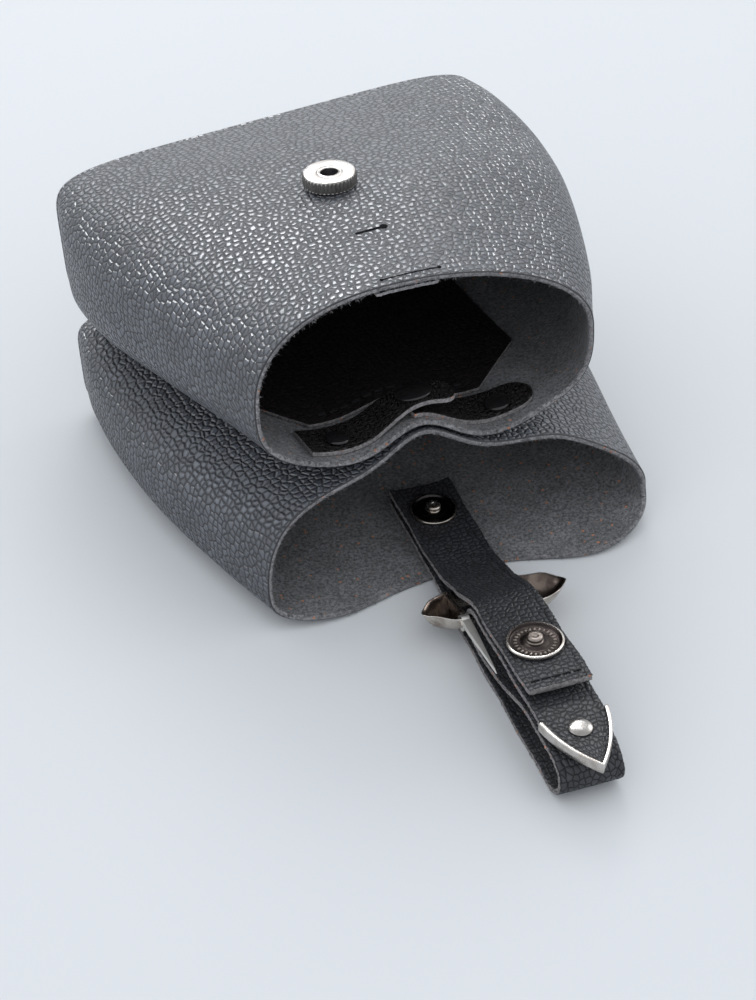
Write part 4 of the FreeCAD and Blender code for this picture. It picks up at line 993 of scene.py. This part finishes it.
def smooth_route(points, count):
    """Cubic spline through the points with free ends, read at even steps of its length."""
    p = np.asarray(points, float)
    s = walked(p)
    h = np.diff(s)
    n = len(p)
    system, right = np.eye(n), np.zeros((n, 2))
    inner = np.arange(1, n - 1)
    system[inner, inner - 1] = h[:-1]
    system[inner, inner] = 2 * (h[:-1] + h[1:])
    system[inner, inner + 1] = h[1:]
    slope = np.diff(p, axis=0) / h[:, None]
    right[inner] = 6 * (slope[1:] - slope[:-1])
    curve = np.linalg.solve(system, right)
    at = np.linspace(0.0, s[-1], 4000)
    k = np.clip(np.searchsorted(s, at, side="right") - 1, 0, n - 2)
    a, b = (s[k + 1] - at) / h[k], (at - s[k]) / h[k]
    step = h[k] ** 2 / 6
    fine = (a[:, None] * p[k] + b[:, None] * p[k + 1] + (a ** 3 - a)[:, None] * curve[k]
            * step[:, None] + (b ** 3 - b)[:, None] * curve[k + 1] * step[:, None])
    far = walked(fine)
    goal = np.linspace(0.0, far[-1], count)
    return np.stack([np.interp(goal, far, fine[:, 0]), np.interp(goal, far, fine[:, 1])], -1)


def height_on(points, u):
    """Height of the strap's line where it first reaches u."""
    line = smooth_route(points, 2000)
    first = np.argmax(line[:, 0] >= u)
    return line[first, 1]


PRESS_AT = 0.775
PRESS_DEPTH = 0.28
PRESS_SPREAD = 0.028
EDGE_FALL = 0.16


def strap_section():
    """Cut of the strap, walked once round: lines pressed near both edges of the faces, their
    depth times exp(-(distance / spread)^2), and a seam between the two layers along each side.
    Columns are across, up, and the finish: 0 for a face, 1 for a side."""
    half, thick = STRAP_W / 2, STRAP_T / 2
    face = np.array([-0.985, -0.95, -0.88, -0.83, -0.80, -0.775, -0.75, -0.72, -0.67, -0.5, -0.25,
                     0.0, 0.25, 0.5, 0.67, 0.72, 0.75, 0.775, 0.80, 0.83, 0.88, 0.95, 0.985])
    press = PRESS_DEPTH * np.exp(-((np.abs(face) - PRESS_AT) / PRESS_SPREAD) ** 2)
    fall = EDGE_FALL * smooth_step(np.abs(face), 0.9, 0.99)
    top = np.stack([face * half, thick - press - fall, 0 * face], -1)
    side = np.array([[half - 0.02, 0.78], [half, 0.35], [half - 0.12, 0.12], [half - 0.5, 0.0],
                     [half - 0.12, -0.12], [half, -0.35], [half - 0.02, -0.78]])
    right = np.concatenate([side, np.ones((len(side), 1))], 1)
    low = top[::-1] * [1, -1, 1]
    left = right[::-1] * [-1, 1, 1]
    return np.concatenate([top, right, low, left])


def strap_piece(name, line, cup, half_share, replaced, ends_ragged=(True, True)):
    """Strap carried along its line.  cup lifts the edges by the cube of their place across,
    half_share narrows the strap, and the cut sides wander and swell a little."""
    section = strap_section()
    ahead = np.gradient(line, axis=0)
    ahead /= np.linalg.norm(ahead, axis=1, keepdims=True)
    over = np.stack([-ahead[:, 1], ahead[:, 0]], -1)
    across, up, finish = section.T
    rows, cols = len(line), len(section)
    wander = np.where(finish > 0, 1.0, 0.0)[None, :] * rng.normal(0.0, RAGGED, (rows, cols))
    swell = 0.16 * np.sin(np.arange(rows) / 7.0)[:, None] * np.sign(across)[None, :]
    near_side, full_width = np.abs(across) > 9, half_share[:, None] > 0.98
    v = across[None, :] * half_share[:, None] + (wander + swell * near_side) * full_width
    lift = up[None, :] + cup[:, None] * np.abs(across / (STRAP_W / 2))[None, :] ** 3
    u = line[:, :1] + over[:, :1] * lift
    z = line[:, 1:] + over[:, 1:] * lift
    for row, ragged in ((0, ends_ragged[0]), (-1, ends_ragged[1])):
        if ragged:
            nudge = rng.normal(0.0, RAGGED, cols)
            u[row] += nudge * ahead[row, 0]
            z[row] += nudge * ahead[row, 1]
    points = in_bag(u, v, z).reshape(-1, 3)
    which = np.tile(np.where((finish > 0) & (np.roll(finish, -1) > 0), 1, 0), rows - 1)
    which = np.concatenate([which, [1, 1]])
    uv = np.broadcast_arrays(walked(line)[:, None], walked(section[:, :2])[None, :])
    made = put_mesh(name, points, capped_tube(rows, cols), [strap_grain, strap_edge], which,
                    np.stack(uv, -1).reshape(-1, 2))
    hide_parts(*replaced)
    return made


def bend_points(u, z, before, after):
    """Two places on the strap's line, in metres, between which it bends."""
    start, end = in_bag(u - before, 0.0, z), in_bag(u + after, 0.0, z)
    return tuple(start * MM), tuple(end * MM)


def upper_strap():
    """The strap that rises over the buckle bar, in two lengths that meet between its bends;
    its root and rise are cupped."""
    line = smooth_route(UPPER_STRAP, 240)
    meet = int(np.argmax(line[:, 0] > SEAM_U))
    cup = 1.5 * (1 - smooth_step(line[:, 0], 25.0, 62.0)) + 0.12
    full = np.ones(len(line))
    root = strap_piece("upper_strap", line[:meet + 1], cup[:meet + 1], full[:meet + 1],
                       ("upper_strap_root", "upper_strap"), (True, False))
    start, end = bend_points(LOOP_BEND_U, height_on(UPPER_STRAP, LOOP_BEND_U), 5.0, 5.0)
    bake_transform(root)
    flap = strap_piece("strap_flap", line[meet:], cup[meet:], full[meet:], ("strap_flap",),
                       (False, True))
    start, end = bend_points(FLAP_BEND_U, height_on(UPPER_STRAP, FLAP_BEND_U), 4.0, 4.0)
    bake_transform(flap)


def ogive(inset, s):
    """Pointed outline of the strap end, s from -1 on the left through 0 at the point to 1 on
    the right: on each side the arc of a circle through the edge, the point and a middle
    bulged out by TIP_BULGE half widths."""
    half = STRAP_W / 2 + TIP_WALL - inset
    length = TIP_END_U - TIP_START_U - inset
    a, c = np.array([0.0, half]), np.array([length, 0.0])
    out = np.array([half, length]) / np.hypot(half, length)
    b = (a + c) / 2 + out * TIP_BULGE * half
    system = 2 * np.array([b - a, c - a])
    centre = np.linalg.solve(system, [b @ b - a @ a, c @ c - a @ a])
    radius = np.linalg.norm(a - centre)
    first, last = np.arctan2(*(a - centre)[::-1]), np.arctan2(*(c - centre)[::-1])
    turn = last + (first - last) * np.abs(s)
    u = centre[0] + radius * np.cos(turn)
    v = (centre[1] + radius * np.sin(turn)) * np.sign(s)
    return TIP_START_U + u, np.where(s == 0, 0.0, v)


def loop_strap():
    """The strap that lies on the ground, turns back and goes round the bar to the metal end."""
    line = smooth_route(LOOP_STRAP, 520)
    last = np.arange(len(line)) > 400      # the length that runs into the metal end
    u, v = ogive(TIP_WALL + 0.05, np.linspace(0.0, 1.0, 200))
    order = np.argsort(u)
    share = np.where(last & (line[:, 0] > TIP_START_U),
                     np.interp(line[:, 0], u[order], v[order]) / (STRAP_W / 2), 1.0)
    share = np.clip(share, 0.03, 1.0)
    made = strap_piece("loop_strap", line, np.full(len(line), 0.0), share,
                       ("loop_strap_root", "loop_strap"))
    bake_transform(made)


upper_strap()
loop_strap()


def strap_tip():
    """Pointed metal channel: its cut, with rounded corners, carried round the ogive; a thin
    plate closes it below."""
    middle = LOOP_STRAP[-1][1]
    low, high = middle - STRAP_T / 2 - TIP_PAD, middle + STRAP_T / 2 + TIP_PAD
    room = STRAP_T / 2 + 0.05
    lip = TIP_WALL + TIP_LIP
    cut = rounded([(TIP_FLANGE, low), (1.0, low), (0.25, low + 0.7), (0.0, middle),
                   (0.05, high - 0.4), (0.35, high), (lip, high - 0.1), (lip, middle + room),
                   (TIP_WALL, middle + room), (TIP_WALL, middle - room),
                   (TIP_FLANGE, middle - room), (TIP_FLANGE, low)], 0.35, 3)[:-1]
    even = np.linspace(-1, 1, 121)
    s = np.sign(even) * np.abs(even) ** 1.2
    grid = np.stack([in_bag(*ogive(inset, s), z) for inset, z in cut], 1)
    channel = put_mesh("strap_end_cap", grid, capped_tube(*grid.shape[:2]), [bright_nickel])
    u, v = ogive(2.0, np.linspace(1e-3, 1, 40))
    share = np.linspace(-1, 1, 13)
    top = in_bag(u[:, None], v[:, None] * share[None, :], middle - room + 0 * share[None, :])
    plate = slab("strap_end_floor", top, top - UP * (TIP_PAD - 0.05), [bright_nickel])
    for made in (channel, plate):
        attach(made, "strap_loop")
    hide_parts("strap_tip")


strap_tip()


NUB_R = 2.6
NUB_H = 3.0
POST_R = 1.5
DISH_H = 0.55
ON_STRAP = STRAP_T / 2 + 0.2


def stud_profile(disc_r, disc_h, foot):
    """Half outline of a male snap: post, dished disc with a rolled rim, waisted nub.  With it,
    which rows belong to the nub."""
    outline = rounded([(0.0, foot), (POST_R, foot), (POST_R, 0.0), (disc_r - 0.5, 0.0),
                       (disc_r, 0.35), (disc_r, disc_h), (disc_r - 0.9, disc_h + 0.12),
                       (disc_r - 1.3, DISH_H), (NUB_R + 2.0, DISH_H - 0.1), (NUB_R + 0.9, 1.0),
                       (NUB_R - 0.3, 1.15), (NUB_R - 0.45, NUB_H - 1.1), (NUB_R, NUB_H - 0.7),
                       (NUB_R - 0.5, NUB_H), (NUB_R - 1.6, NUB_H), (NUB_R - 1.9, NUB_H - 0.35),
                       (0.0, NUB_H - 0.35)], 0.3, 3)
    return outline, (outline[:, 0] < NUB_R + 0.1) & (outline[:, 1] > 1.1)


def studs():
    """Root stud, flap stud with its ring of ribs, and the strap end's rivet."""
    top = ROOT_HIGH + ON_STRAP
    profile, nub = stud_profile(7.8, 1.2, 0.3 - top)
    # The nub and the rim take pale aged nickel on the black nickel disc: painted highlights on one
    # piece of metal.
    root = turned("root_snap_stud", profile, in_bag(0.0, 0.0, top), UP,
                  [black_nickel, aged_nickel], 96,
                  which=np.where(nub | (profile[:, 0] > 7.5), 1, 0))
    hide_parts("root_stud")
    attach(root, "bag")
    here = height_on(UPPER_STRAP, FLAP_SNAP_U)
    rise = height_on(UPPER_STRAP, FLAP_SNAP_U + 9) - height_on(UPPER_STRAP, FLAP_SNAP_U - 9)
    tilt = np.arctan2(rise, 18.0)
    normal = UP * np.cos(tilt) - ALONG * np.sin(tilt)
    base = in_bag(FLAP_SNAP_U, 0.0, here) + normal * ON_STRAP
    profile, nub = stud_profile(9.0, 1.4, -STRAP_T - 0.1)
    # The rim takes bright nickel and the nub, like the ribs, a paler nickel than the dark disc:
    # painted highlights on one piece of metal.
    rim = profile[:, 0] > 8.6
    flap = turned("flap_snap_stud", profile, base, normal,
                  [dark_nickel, bright_nickel, rib_nickel], 120,
                  which=np.where(rim, 1, np.where(nub, 2, 0)))
    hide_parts("flap_snap_stud")
    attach(flap, "strap_end")
    beads = bead_ring(base, normal)
    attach(beads, "strap_end")
    middle = LOOP_STRAP[-1][1]
    head = rounded([(0.0, -STRAP_T), (POST_R, -STRAP_T), (POST_R, 0.0), (3.5, 0.0), (3.8, 0.3),
                    (3.3, 0.75), (2.2, 1.15), (0.0, 1.3)], 0.5, 4)
    rivet = turned("strap_end_rivet", head, in_bag(TIP_RIVET_U, 0.0, middle + STRAP_T / 2 + 0.05),
                   UP, [snap_nickel], 64)
    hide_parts("tip_rivet")
    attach(rivet, "strap_loop")


def bead_ring(base, normal, count=26, ring=6.1, length=1.5, wide=0.42, tall=0.38):
    """Ring of plain ribs on the dished disc: each rib is half an ellipsoid, longer along the
    radius, worked out as one grid per rib."""
    lat = np.linspace(0.0, np.pi / 2, 4)[:, None]
    lon = 2 * np.pi * np.arange(10) / 10
    cap = np.stack(np.broadcast_arrays(np.cos(lat) * np.cos(lon) * length / 2,
                                       np.cos(lat) * np.sin(lon) * wide,
                                       np.sin(lat) * tall), -1)
    floor_ring = cap[:1] * [1, 1, 0] - [0, 0, 0.15]
    shape = np.concatenate([floor_ring, cap]).reshape(-1, 3)
    angle = 2 * np.pi * np.arange(count) / count
    radial = np.cos(angle)[:, None] * ACROSS + np.sin(angle)[:, None] * np.cross(normal, ACROSS)
    round_it = np.cross(normal, radial)
    where = base + radial * ring + normal * (DISH_H - 0.03)
    points = (where[:, None] + shape[None, :, :1] * radial[:, None]
              + shape[None, :, 1:2] * round_it[:, None] + shape[None, :, 2:] * normal)
    skin, low_cap, _ = capped_tube(5, 10)
    faces = [copies(part, len(shape), count) for part in (skin, low_cap)]
    return put_mesh("flap_snap_ribs", points.reshape(-1, 3), faces, [rib_nickel])


studs()


def flap_stitches(count=5, pitch=3.4, long=2.6, rise=0.42, wide=0.34, thick=0.30):
    """Row of stitches near the flap's end: each an oval thread that dives at both ends, its
    height the rise times 1 - s^4."""
    u = FLAP_END_U - 3.5
    z = height_on(UPPER_STRAP, u) + STRAP_T / 2
    s = np.linspace(-1.0, 1.0, 13)
    ring = 2 * np.pi * np.arange(8) / 8
    middle = (np.arange(count) - (count - 1) / 2) * pitch
    v = middle[:, None, None] + long / 2 * s[None, :, None] + 0 * ring
    lift = rise * (1 - s ** 4)[None, :, None] + 0.04
    points = in_bag(u + wide * np.sin(ring) + 0 * v, v, z + lift + thick * np.cos(ring))
    points = points.reshape(-1, 3)
    each = len(s) * len(ring)
    faces = [copies(part, each, count) for part in capped_tube(len(s), len(ring))]
    made = put_mesh("flap_stitches", points, faces, [thread])
    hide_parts("flap_stitches")
    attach(made, "strap_end")


flap_stitches()


# ---------------------------------------------------------------- snap, rivets and cap
SNAP_AT = (-4.5, UPPER_MOUTH_Y + 71.2)
LEFT_RIVET = (-32.0, TAB_FRONT_Y + 6.0)
RIGHT_RIVET = (24.0, TAB_FRONT_Y + 5.5)
TAB_CAP = (-5.0, TAB_FRONT_Y + 7.5)
RIVET_SIZE = (8.4, 1.7, 9.0)           # width, height, and length of the post
CAP_SIZE = (12.4, 1.9, 1.9)
DOME_EDGE = 0.28
SNAP_R = 8.8
SNAP_H = 4.4
SNAP_HOLE_R = 2.9
FLUTES = 40
FLUTE_DEPTH = 0.42


def roof_normal(x, y, step=2.0):
    """Normal of the pouch roof from its heights a short step each way."""
    dx = (upper_roof(x + step, y) - upper_roof(x - step, y)) / (2 * step)
    dy = (upper_roof(x, y + step) - upper_roof(x, y - step)) / (2 * step)
    normal = np.array([-float(dx), -float(dy), 1.0])
    return normal / np.linalg.norm(normal)


def front_snap():
    """Fluted magnetic snap: a ring with a stepped hole; the magnet shows dark inside it.  It
    stands on the highest place of the roof under its edge."""
    up = roof_normal(*SNAP_AT)
    x, y = circle(SNAP_AT, SNAP_R, 12)
    here = np.array([*SNAP_AT, float(upper_roof(*SNAP_AT))])
    rise = max(0.0, float(((np.stack([x, y, upper_roof(x, y)], -1) - here) @ up).max()))
    seat = here + up * (rise + SEAT)
    outline = rounded([(0.0, 0.0), (SNAP_R - 0.6, 0.0), (SNAP_R, 0.45), (SNAP_R, SNAP_H - 0.8),
                       (SNAP_R - 0.45, SNAP_H), (4.3, SNAP_H), (4.05, SNAP_H - 0.3),
                       (3.45, SNAP_H - 0.3), (3.1, SNAP_H - 0.05), (SNAP_HOLE_R, SNAP_H - 0.3),
                       (SNAP_HOLE_R, 1.3), (0.0, 1.3)], 0.18, 3)
    wall = (outline[:, 0] > 8.5) & (outline[:, 1] > 0.5) & (outline[:, 1] < 3.7)
    share = np.where(wall, 1.0, 0.0)[:, None]

    def flutes(angle, row):
        return -FLUTE_DEPTH * share[row[:, 0]] * (0.5 + 0.5 * np.cos(FLUTES * angle)) ** 1.5

    inside = (outline[:, 0] < 3.0) & (outline[:, 1] < 4.0)
    far_half = np.arange(len(outline)) > len(outline) / 2
    which = np.where(inside & far_half, 1, 0)
    made = turned("front_snap", outline, seat, up, [snap_nickel, magnet_face], 320, flutes, which)
    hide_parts("snap_housing", "snap_magnet")
    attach(made, "bag")


def domed_head(name, at, lift, size, body, replaced):
    """Enamelled dome on a tab: a low cap with a turned-in edge and its post below, standing
    square to the plane fitted to the tab under its edge."""
    wide, tall, post = size
    r = wide / 2
    x, y = circle(at, r, 16)
    ring = np.stack([x, y, upper_floor(x, y) + lift(x) + TAB_T], -1)
    plane = np.stack([x - at[0], y - at[1], 1 + 0 * x], -1)
    fit = np.linalg.lstsq(plane, ring[:, 2], rcond=None)[0]
    up = np.array([-fit[0], -fit[1], 1.0])
    up /= np.linalg.norm(up)
    here = np.array([at[0], at[1], fit[2]])
    here = here + up * (((ring - here) @ up).max() * 0.5 + 0.15)
    turn = np.linspace(0.0, 1.0, 14)[:-1] * np.pi / 2
    dome = np.stack([r * np.cos(turn), tall * (DOME_EDGE + (1 - DOME_EDGE) * np.sin(turn))], -1)
    foot = [(0.0, -post), (POST_R, -post), (POST_R, 0.0), (r - 0.5, 0.0), (r - 0.1, 0.12)]
    outline = np.concatenate([foot, dome, [(0.0, tall)]])
    made = turned(name, outline, here, up, [black_enamel], 72)
    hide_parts(replaced)
    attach(made, body)


SLIT_Y = UPPER_MOUTH_Y + 37.2
PRESS_Y = UPPER_MOUTH_Y + 8.4
MARK_LIFT = 0.20
MARK_T = 0.5


def roof_mark(name, x0, x1, y0, y1, wide, ends, material):
    """Thin dark mark lying on the pouch roof from (x0, y0) to (x1, y1), painted shade that stands
    for a cut or groove: its half width is wide/2, swelling round each end to the radius given for
    it."""
    s = np.linspace(0.0, 1.0, 60)
    long = np.hypot(x1 - x0, y1 - y0)
    half = np.full(len(s), wide / 2)
    for far, radius in zip((s * long, (1 - s) * long), ends):
        half = np.maximum(half, np.sqrt(np.clip(radius ** 2 - (far - radius) ** 2, 0, None)))
    ahead = np.array([x1 - x0, y1 - y0]) / long
    s, v = s[:, None], np.linspace(-1.0, 1.0, 9)[None, :] * half[:, None]
    x = x0 + (x1 - x0) * s - ahead[1] * v
    y = y0 + (y1 - y0) * s + ahead[0] * v
    z = upper_roof(x, y)
    dents = upper_dents(np.stack([x, y, z], -1))
    top = np.stack([x, y, z + dents + MARK_LIFT], -1)
    made = slab(name, top, top - UP * MARK_T, [material])
    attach(made, "bag")


front_snap()
# The slit with its hole and the pressed line are dark slabs of painted shade laid on the roof.
roof_mark("painted_slit_shade", -11.0, -0.4, SLIT_Y, SLIT_Y - 0.4, 0.9, (0.0, 1.25), pressed)
roof_mark("painted_pressed_line_shade", PATCH_X[0] + 2.5, PATCH_X[1] + 2.5, PRESS_Y - 0.6, PRESS_Y, 0.3,
          (0.6, 0.6), pressed)
domed_head("left_tab_rivet", LEFT_RIVET, flat_lift, RIVET_SIZE, "bag", "left_tab_rivet")
domed_head("right_tab_rivet", RIGHT_RIVET, flat_lift, RIVET_SIZE, "bag", "right_tab_rivet")
domed_head("tab_snap_cap", TAB_CAP, left_lift, CAP_SIZE, "tab_end", "tab_snap_cap")

# Pieces of the frame that are seen as they are get their finish here.
for node, material in (("pocket_stitches", thread), ("snap_back_plate", bright_nickel),
                       ("flap_snap_washer", bright_nickel), ("buckle_bar", bright_nickel),
                       ("buckle_prong", prong_highlight_nickel)):
    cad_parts[node].data.materials.clear()
    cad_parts[node].data.materials.append(material)


# ---------------------------------------------------------------- buckle
BUCKLE_V = 1.5
BUCKLE_HALF = STRAP_W / 2 + 13.1
BUCKLE_FAR_U = 39.5
BUCKLE_FAR_BAR = 6.0
BUCKLE_H = 4.6
BUCKLE_DROP = 0.4
BUCKLE_TILT = np.radians(16.0)
BUCKLE_CHEEK = 1.2
WING_DEPTH = 6.4
WING_WALL = 1.3
WAY_HALF = STRAP_W / 2 + 0.5


def on_buckle(u, v, w):
    """Points of the buckle: u and v as on the strap, w above the frame's middle, all turned
    about the bar so that the bar side stands higher."""
    u, v, w = np.broadcast_arrays(*(np.asarray(k, float) for k in (u, v, w)))
    du, dz = u - BAR_U, w - BUCKLE_DROP
    turn_u = du * np.cos(BUCKLE_TILT) - dz * np.sin(BUCKLE_TILT)
    turn_z = du * np.sin(BUCKLE_TILT) + dz * np.cos(BUCKLE_TILT)
    return in_bag(BAR_U + turn_u, v, BAR_Z + turn_z)


def wing(name, side):
    """One wing: a pointed bowl.  Rings run from the middle of the outside up to the rim, over
    it, and down the hollow; the height of a ring at share r is the depth times -(1 - r^3).
    side is 1 for the right wing, -1 for the left."""
    edge = WAY_HALF - 0.2 - side * BUCKLE_V
    tip = BUCKLE_HALF + 1.0
    rim_line = [(61.3, edge), (60.2, edge + 3.4), (57.4, tip * 0.80), (53.6, tip * 0.92),
                (50.2, tip), (47.0, tip * 0.93), (43.6, tip * 0.80), (40.9, edge + 3.2),
                (40.0, edge)]
    line = smooth_route(rim_line, 70)
    back = np.linspace(line[-1], line[0], 22)[1:-1]
    rim = np.concatenate([line, back])
    rim[:, 1] = side * rim[:, 1] + BUCKLE_V
    middle = np.array([51.0, side * (edge + 3.6) + BUCKLE_V])
    reach = (np.abs(rim[:, 1] - BUCKLE_V) - edge) / (tip - edge)
    wave = 0.40 * np.cos(3.2 * np.pi * reach) * reach
    outside = np.array([0.05, 0.25, 0.45, 0.62, 0.76, 0.87, 0.95, 0.99, 1.0])
    hollow = np.array([0.90, 0.84, 0.74, 0.60, 0.44, 0.25, 0.05])
    share = np.concatenate([outside, [0.975, 0.95], hollow])
    depth = np.concatenate([-WING_DEPTH * (1 - outside ** 3), [0.12, 0.0],
                            -(WING_DEPTH - WING_WALL) * (1 - (hollow / 0.92) ** 3)])
    flat = middle + (rim - middle)[None] * share[:, None, None]
    w = BUCKLE_H / 2 + depth[:, None] + wave[None, :] * share[:, None]
    grid = on_buckle(flat[..., 0], flat[..., 1], w)
    cols = grid.shape[1]
    points = np.concatenate([grid.reshape(-1, 3), [grid[0].mean(0), grid[-1].mean(0)]])
    which = np.repeat([0] * 7 + [1] * 3 + [2] * (len(share) - 11) + [0, 2], cols)
    return put_mesh(name, points, closed_tube(len(share), cols),
                    [aged_nickel, bright_nickel, bronze_hollow], which)


def buckle_box(name, u0, u1, v0, v1):
    """Rounded bar of the frame between two places along and across the strap."""
    u = np.linspace(u0, u1, 12)[:, None]
    v = np.linspace(v0, v1, 12)[None, :]
    top = on_buckle(u, v, BUCKLE_H / 2 - 0.3)
    return soften(slab(name, top, on_buckle(u, v, 0.3 - BUCKLE_H / 2), [aged_nickel]), 0.5, 3)


def buckle_parts():
    """The frame round the bar: two wings, the far side, and a cheek each side of the strap."""
    reach = WAY_HALF + BUCKLE_CHEEK
    far, near = BUCKLE_FAR_U, BUCKLE_FAR_U + BUCKLE_FAR_BAR
    pieces = [wing("right_buckle_wing", 1), wing("left_buckle_wing", -1),
              buckle_box("buckle_far_side", far + 0.6, near, -reach, reach),
              buckle_box("buckle_right_cheek", far + 1.5, BAR_U + 1.6, WAY_HALF, reach),
              buckle_box("buckle_left_cheek", far + 1.5, BAR_U - 3.4, -reach, -WAY_HALF)]
    for piece in pieces:
        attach(piece, "buckle")
    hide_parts("buckle_frame")


buckle_parts()


# ---------------------------------------------------------------- studio
def studio():
    """Pale floor, a bright room, a soft lamp behind the bag, and three lamps behind and at the
    sides of it that are seen only as shine."""
    scene = bpy.context.scene
    scene.view_settings.view_transform = "Standard"
    floor_mesh = bpy.data.meshes.new("studio_floor")
    far = 3.0
    floor_mesh.from_pydata([(-far, -far, 0), (far, -far, 0), (far, far, 0), (-far, far, 0)], [],
                           [(0, 1, 2, 3)])
    floor = bpy.data.objects.new("studio_floor", floor_mesh)
    scene.collection.objects.link(floor)
    material, tree, shader = new_material("studio_floor")
    feed(tree, shader.inputs, {"Base Color": (0.725, 0.745, 0.77), "Roughness": 0.7,
                               "Specular IOR Level": 0.2})
    floor_mesh.materials.append(material)
    world = bpy.data.worlds.new("studio_room")
    scene.world = world
    world.use_nodes = True
    room = world.node_tree.nodes["Background"]
    feed(world.node_tree, room.inputs, {"Color": (0.93, 0.965, 1.0), "Strength": 1.0})
    # Name, place, width, height, watts, colour, and whether it lights more than shine.
    lamps = [("back_lamp", (0.30, 1.05, 1.10), 0.75, 0.55, 3.2, (1.0, 1.0, 1.0), True),
             ("sheen_lamp", (0.10, 1.15, 1.05), 1.1, 0.7, 31.0, (0.97, 0.985, 1.0), False),
             ("side_sheen_lamp", (-1.25, 0.35, 0.75), 0.9, 0.7, 3.0, (0.93, 0.96, 1.0), False),
             ("right_sheen_lamp", (1.2, 0.2, 0.8), 0.8, 0.8, 7.0, (1.0, 0.98, 0.96), False)]
    for name, at, wide, tall, power, colour, lights_all in lamps:
        light = bpy.data.lights.new(name, "AREA")
        light.shape = "RECTANGLE"
        light.size, light.size_y = wide, tall
        light.energy = power
        light.color = colour
        lamp = bpy.data.objects.new(name, light)
        lamp.location = at
        aim = Vector((0, 0, 0.05)) - Vector(at)
        lamp.rotation_euler = aim.to_track_quat("-Z", "Y").to_euler()
        lamp.visible_diffuse = lights_all
        scene.collection.objects.link(lamp)
    lens = bpy.data.cameras.new("camera")
    lens.sensor_width = 36.0
    lens.lens = 100.8
    lens.clip_start = 0.01
    camera = bpy.data.objects.new("camera", lens)
    camera.location = (-0.3095, -0.6783, 0.6042)
    aim = Vector((-0.0052, -0.0257, 0.0)) - Vector(camera.location)
    camera.rotation_euler = aim.to_track_quat("-Z", "Y").to_euler()
    scene.collection.objects.link(camera)
    scene.camera = camera


studio()
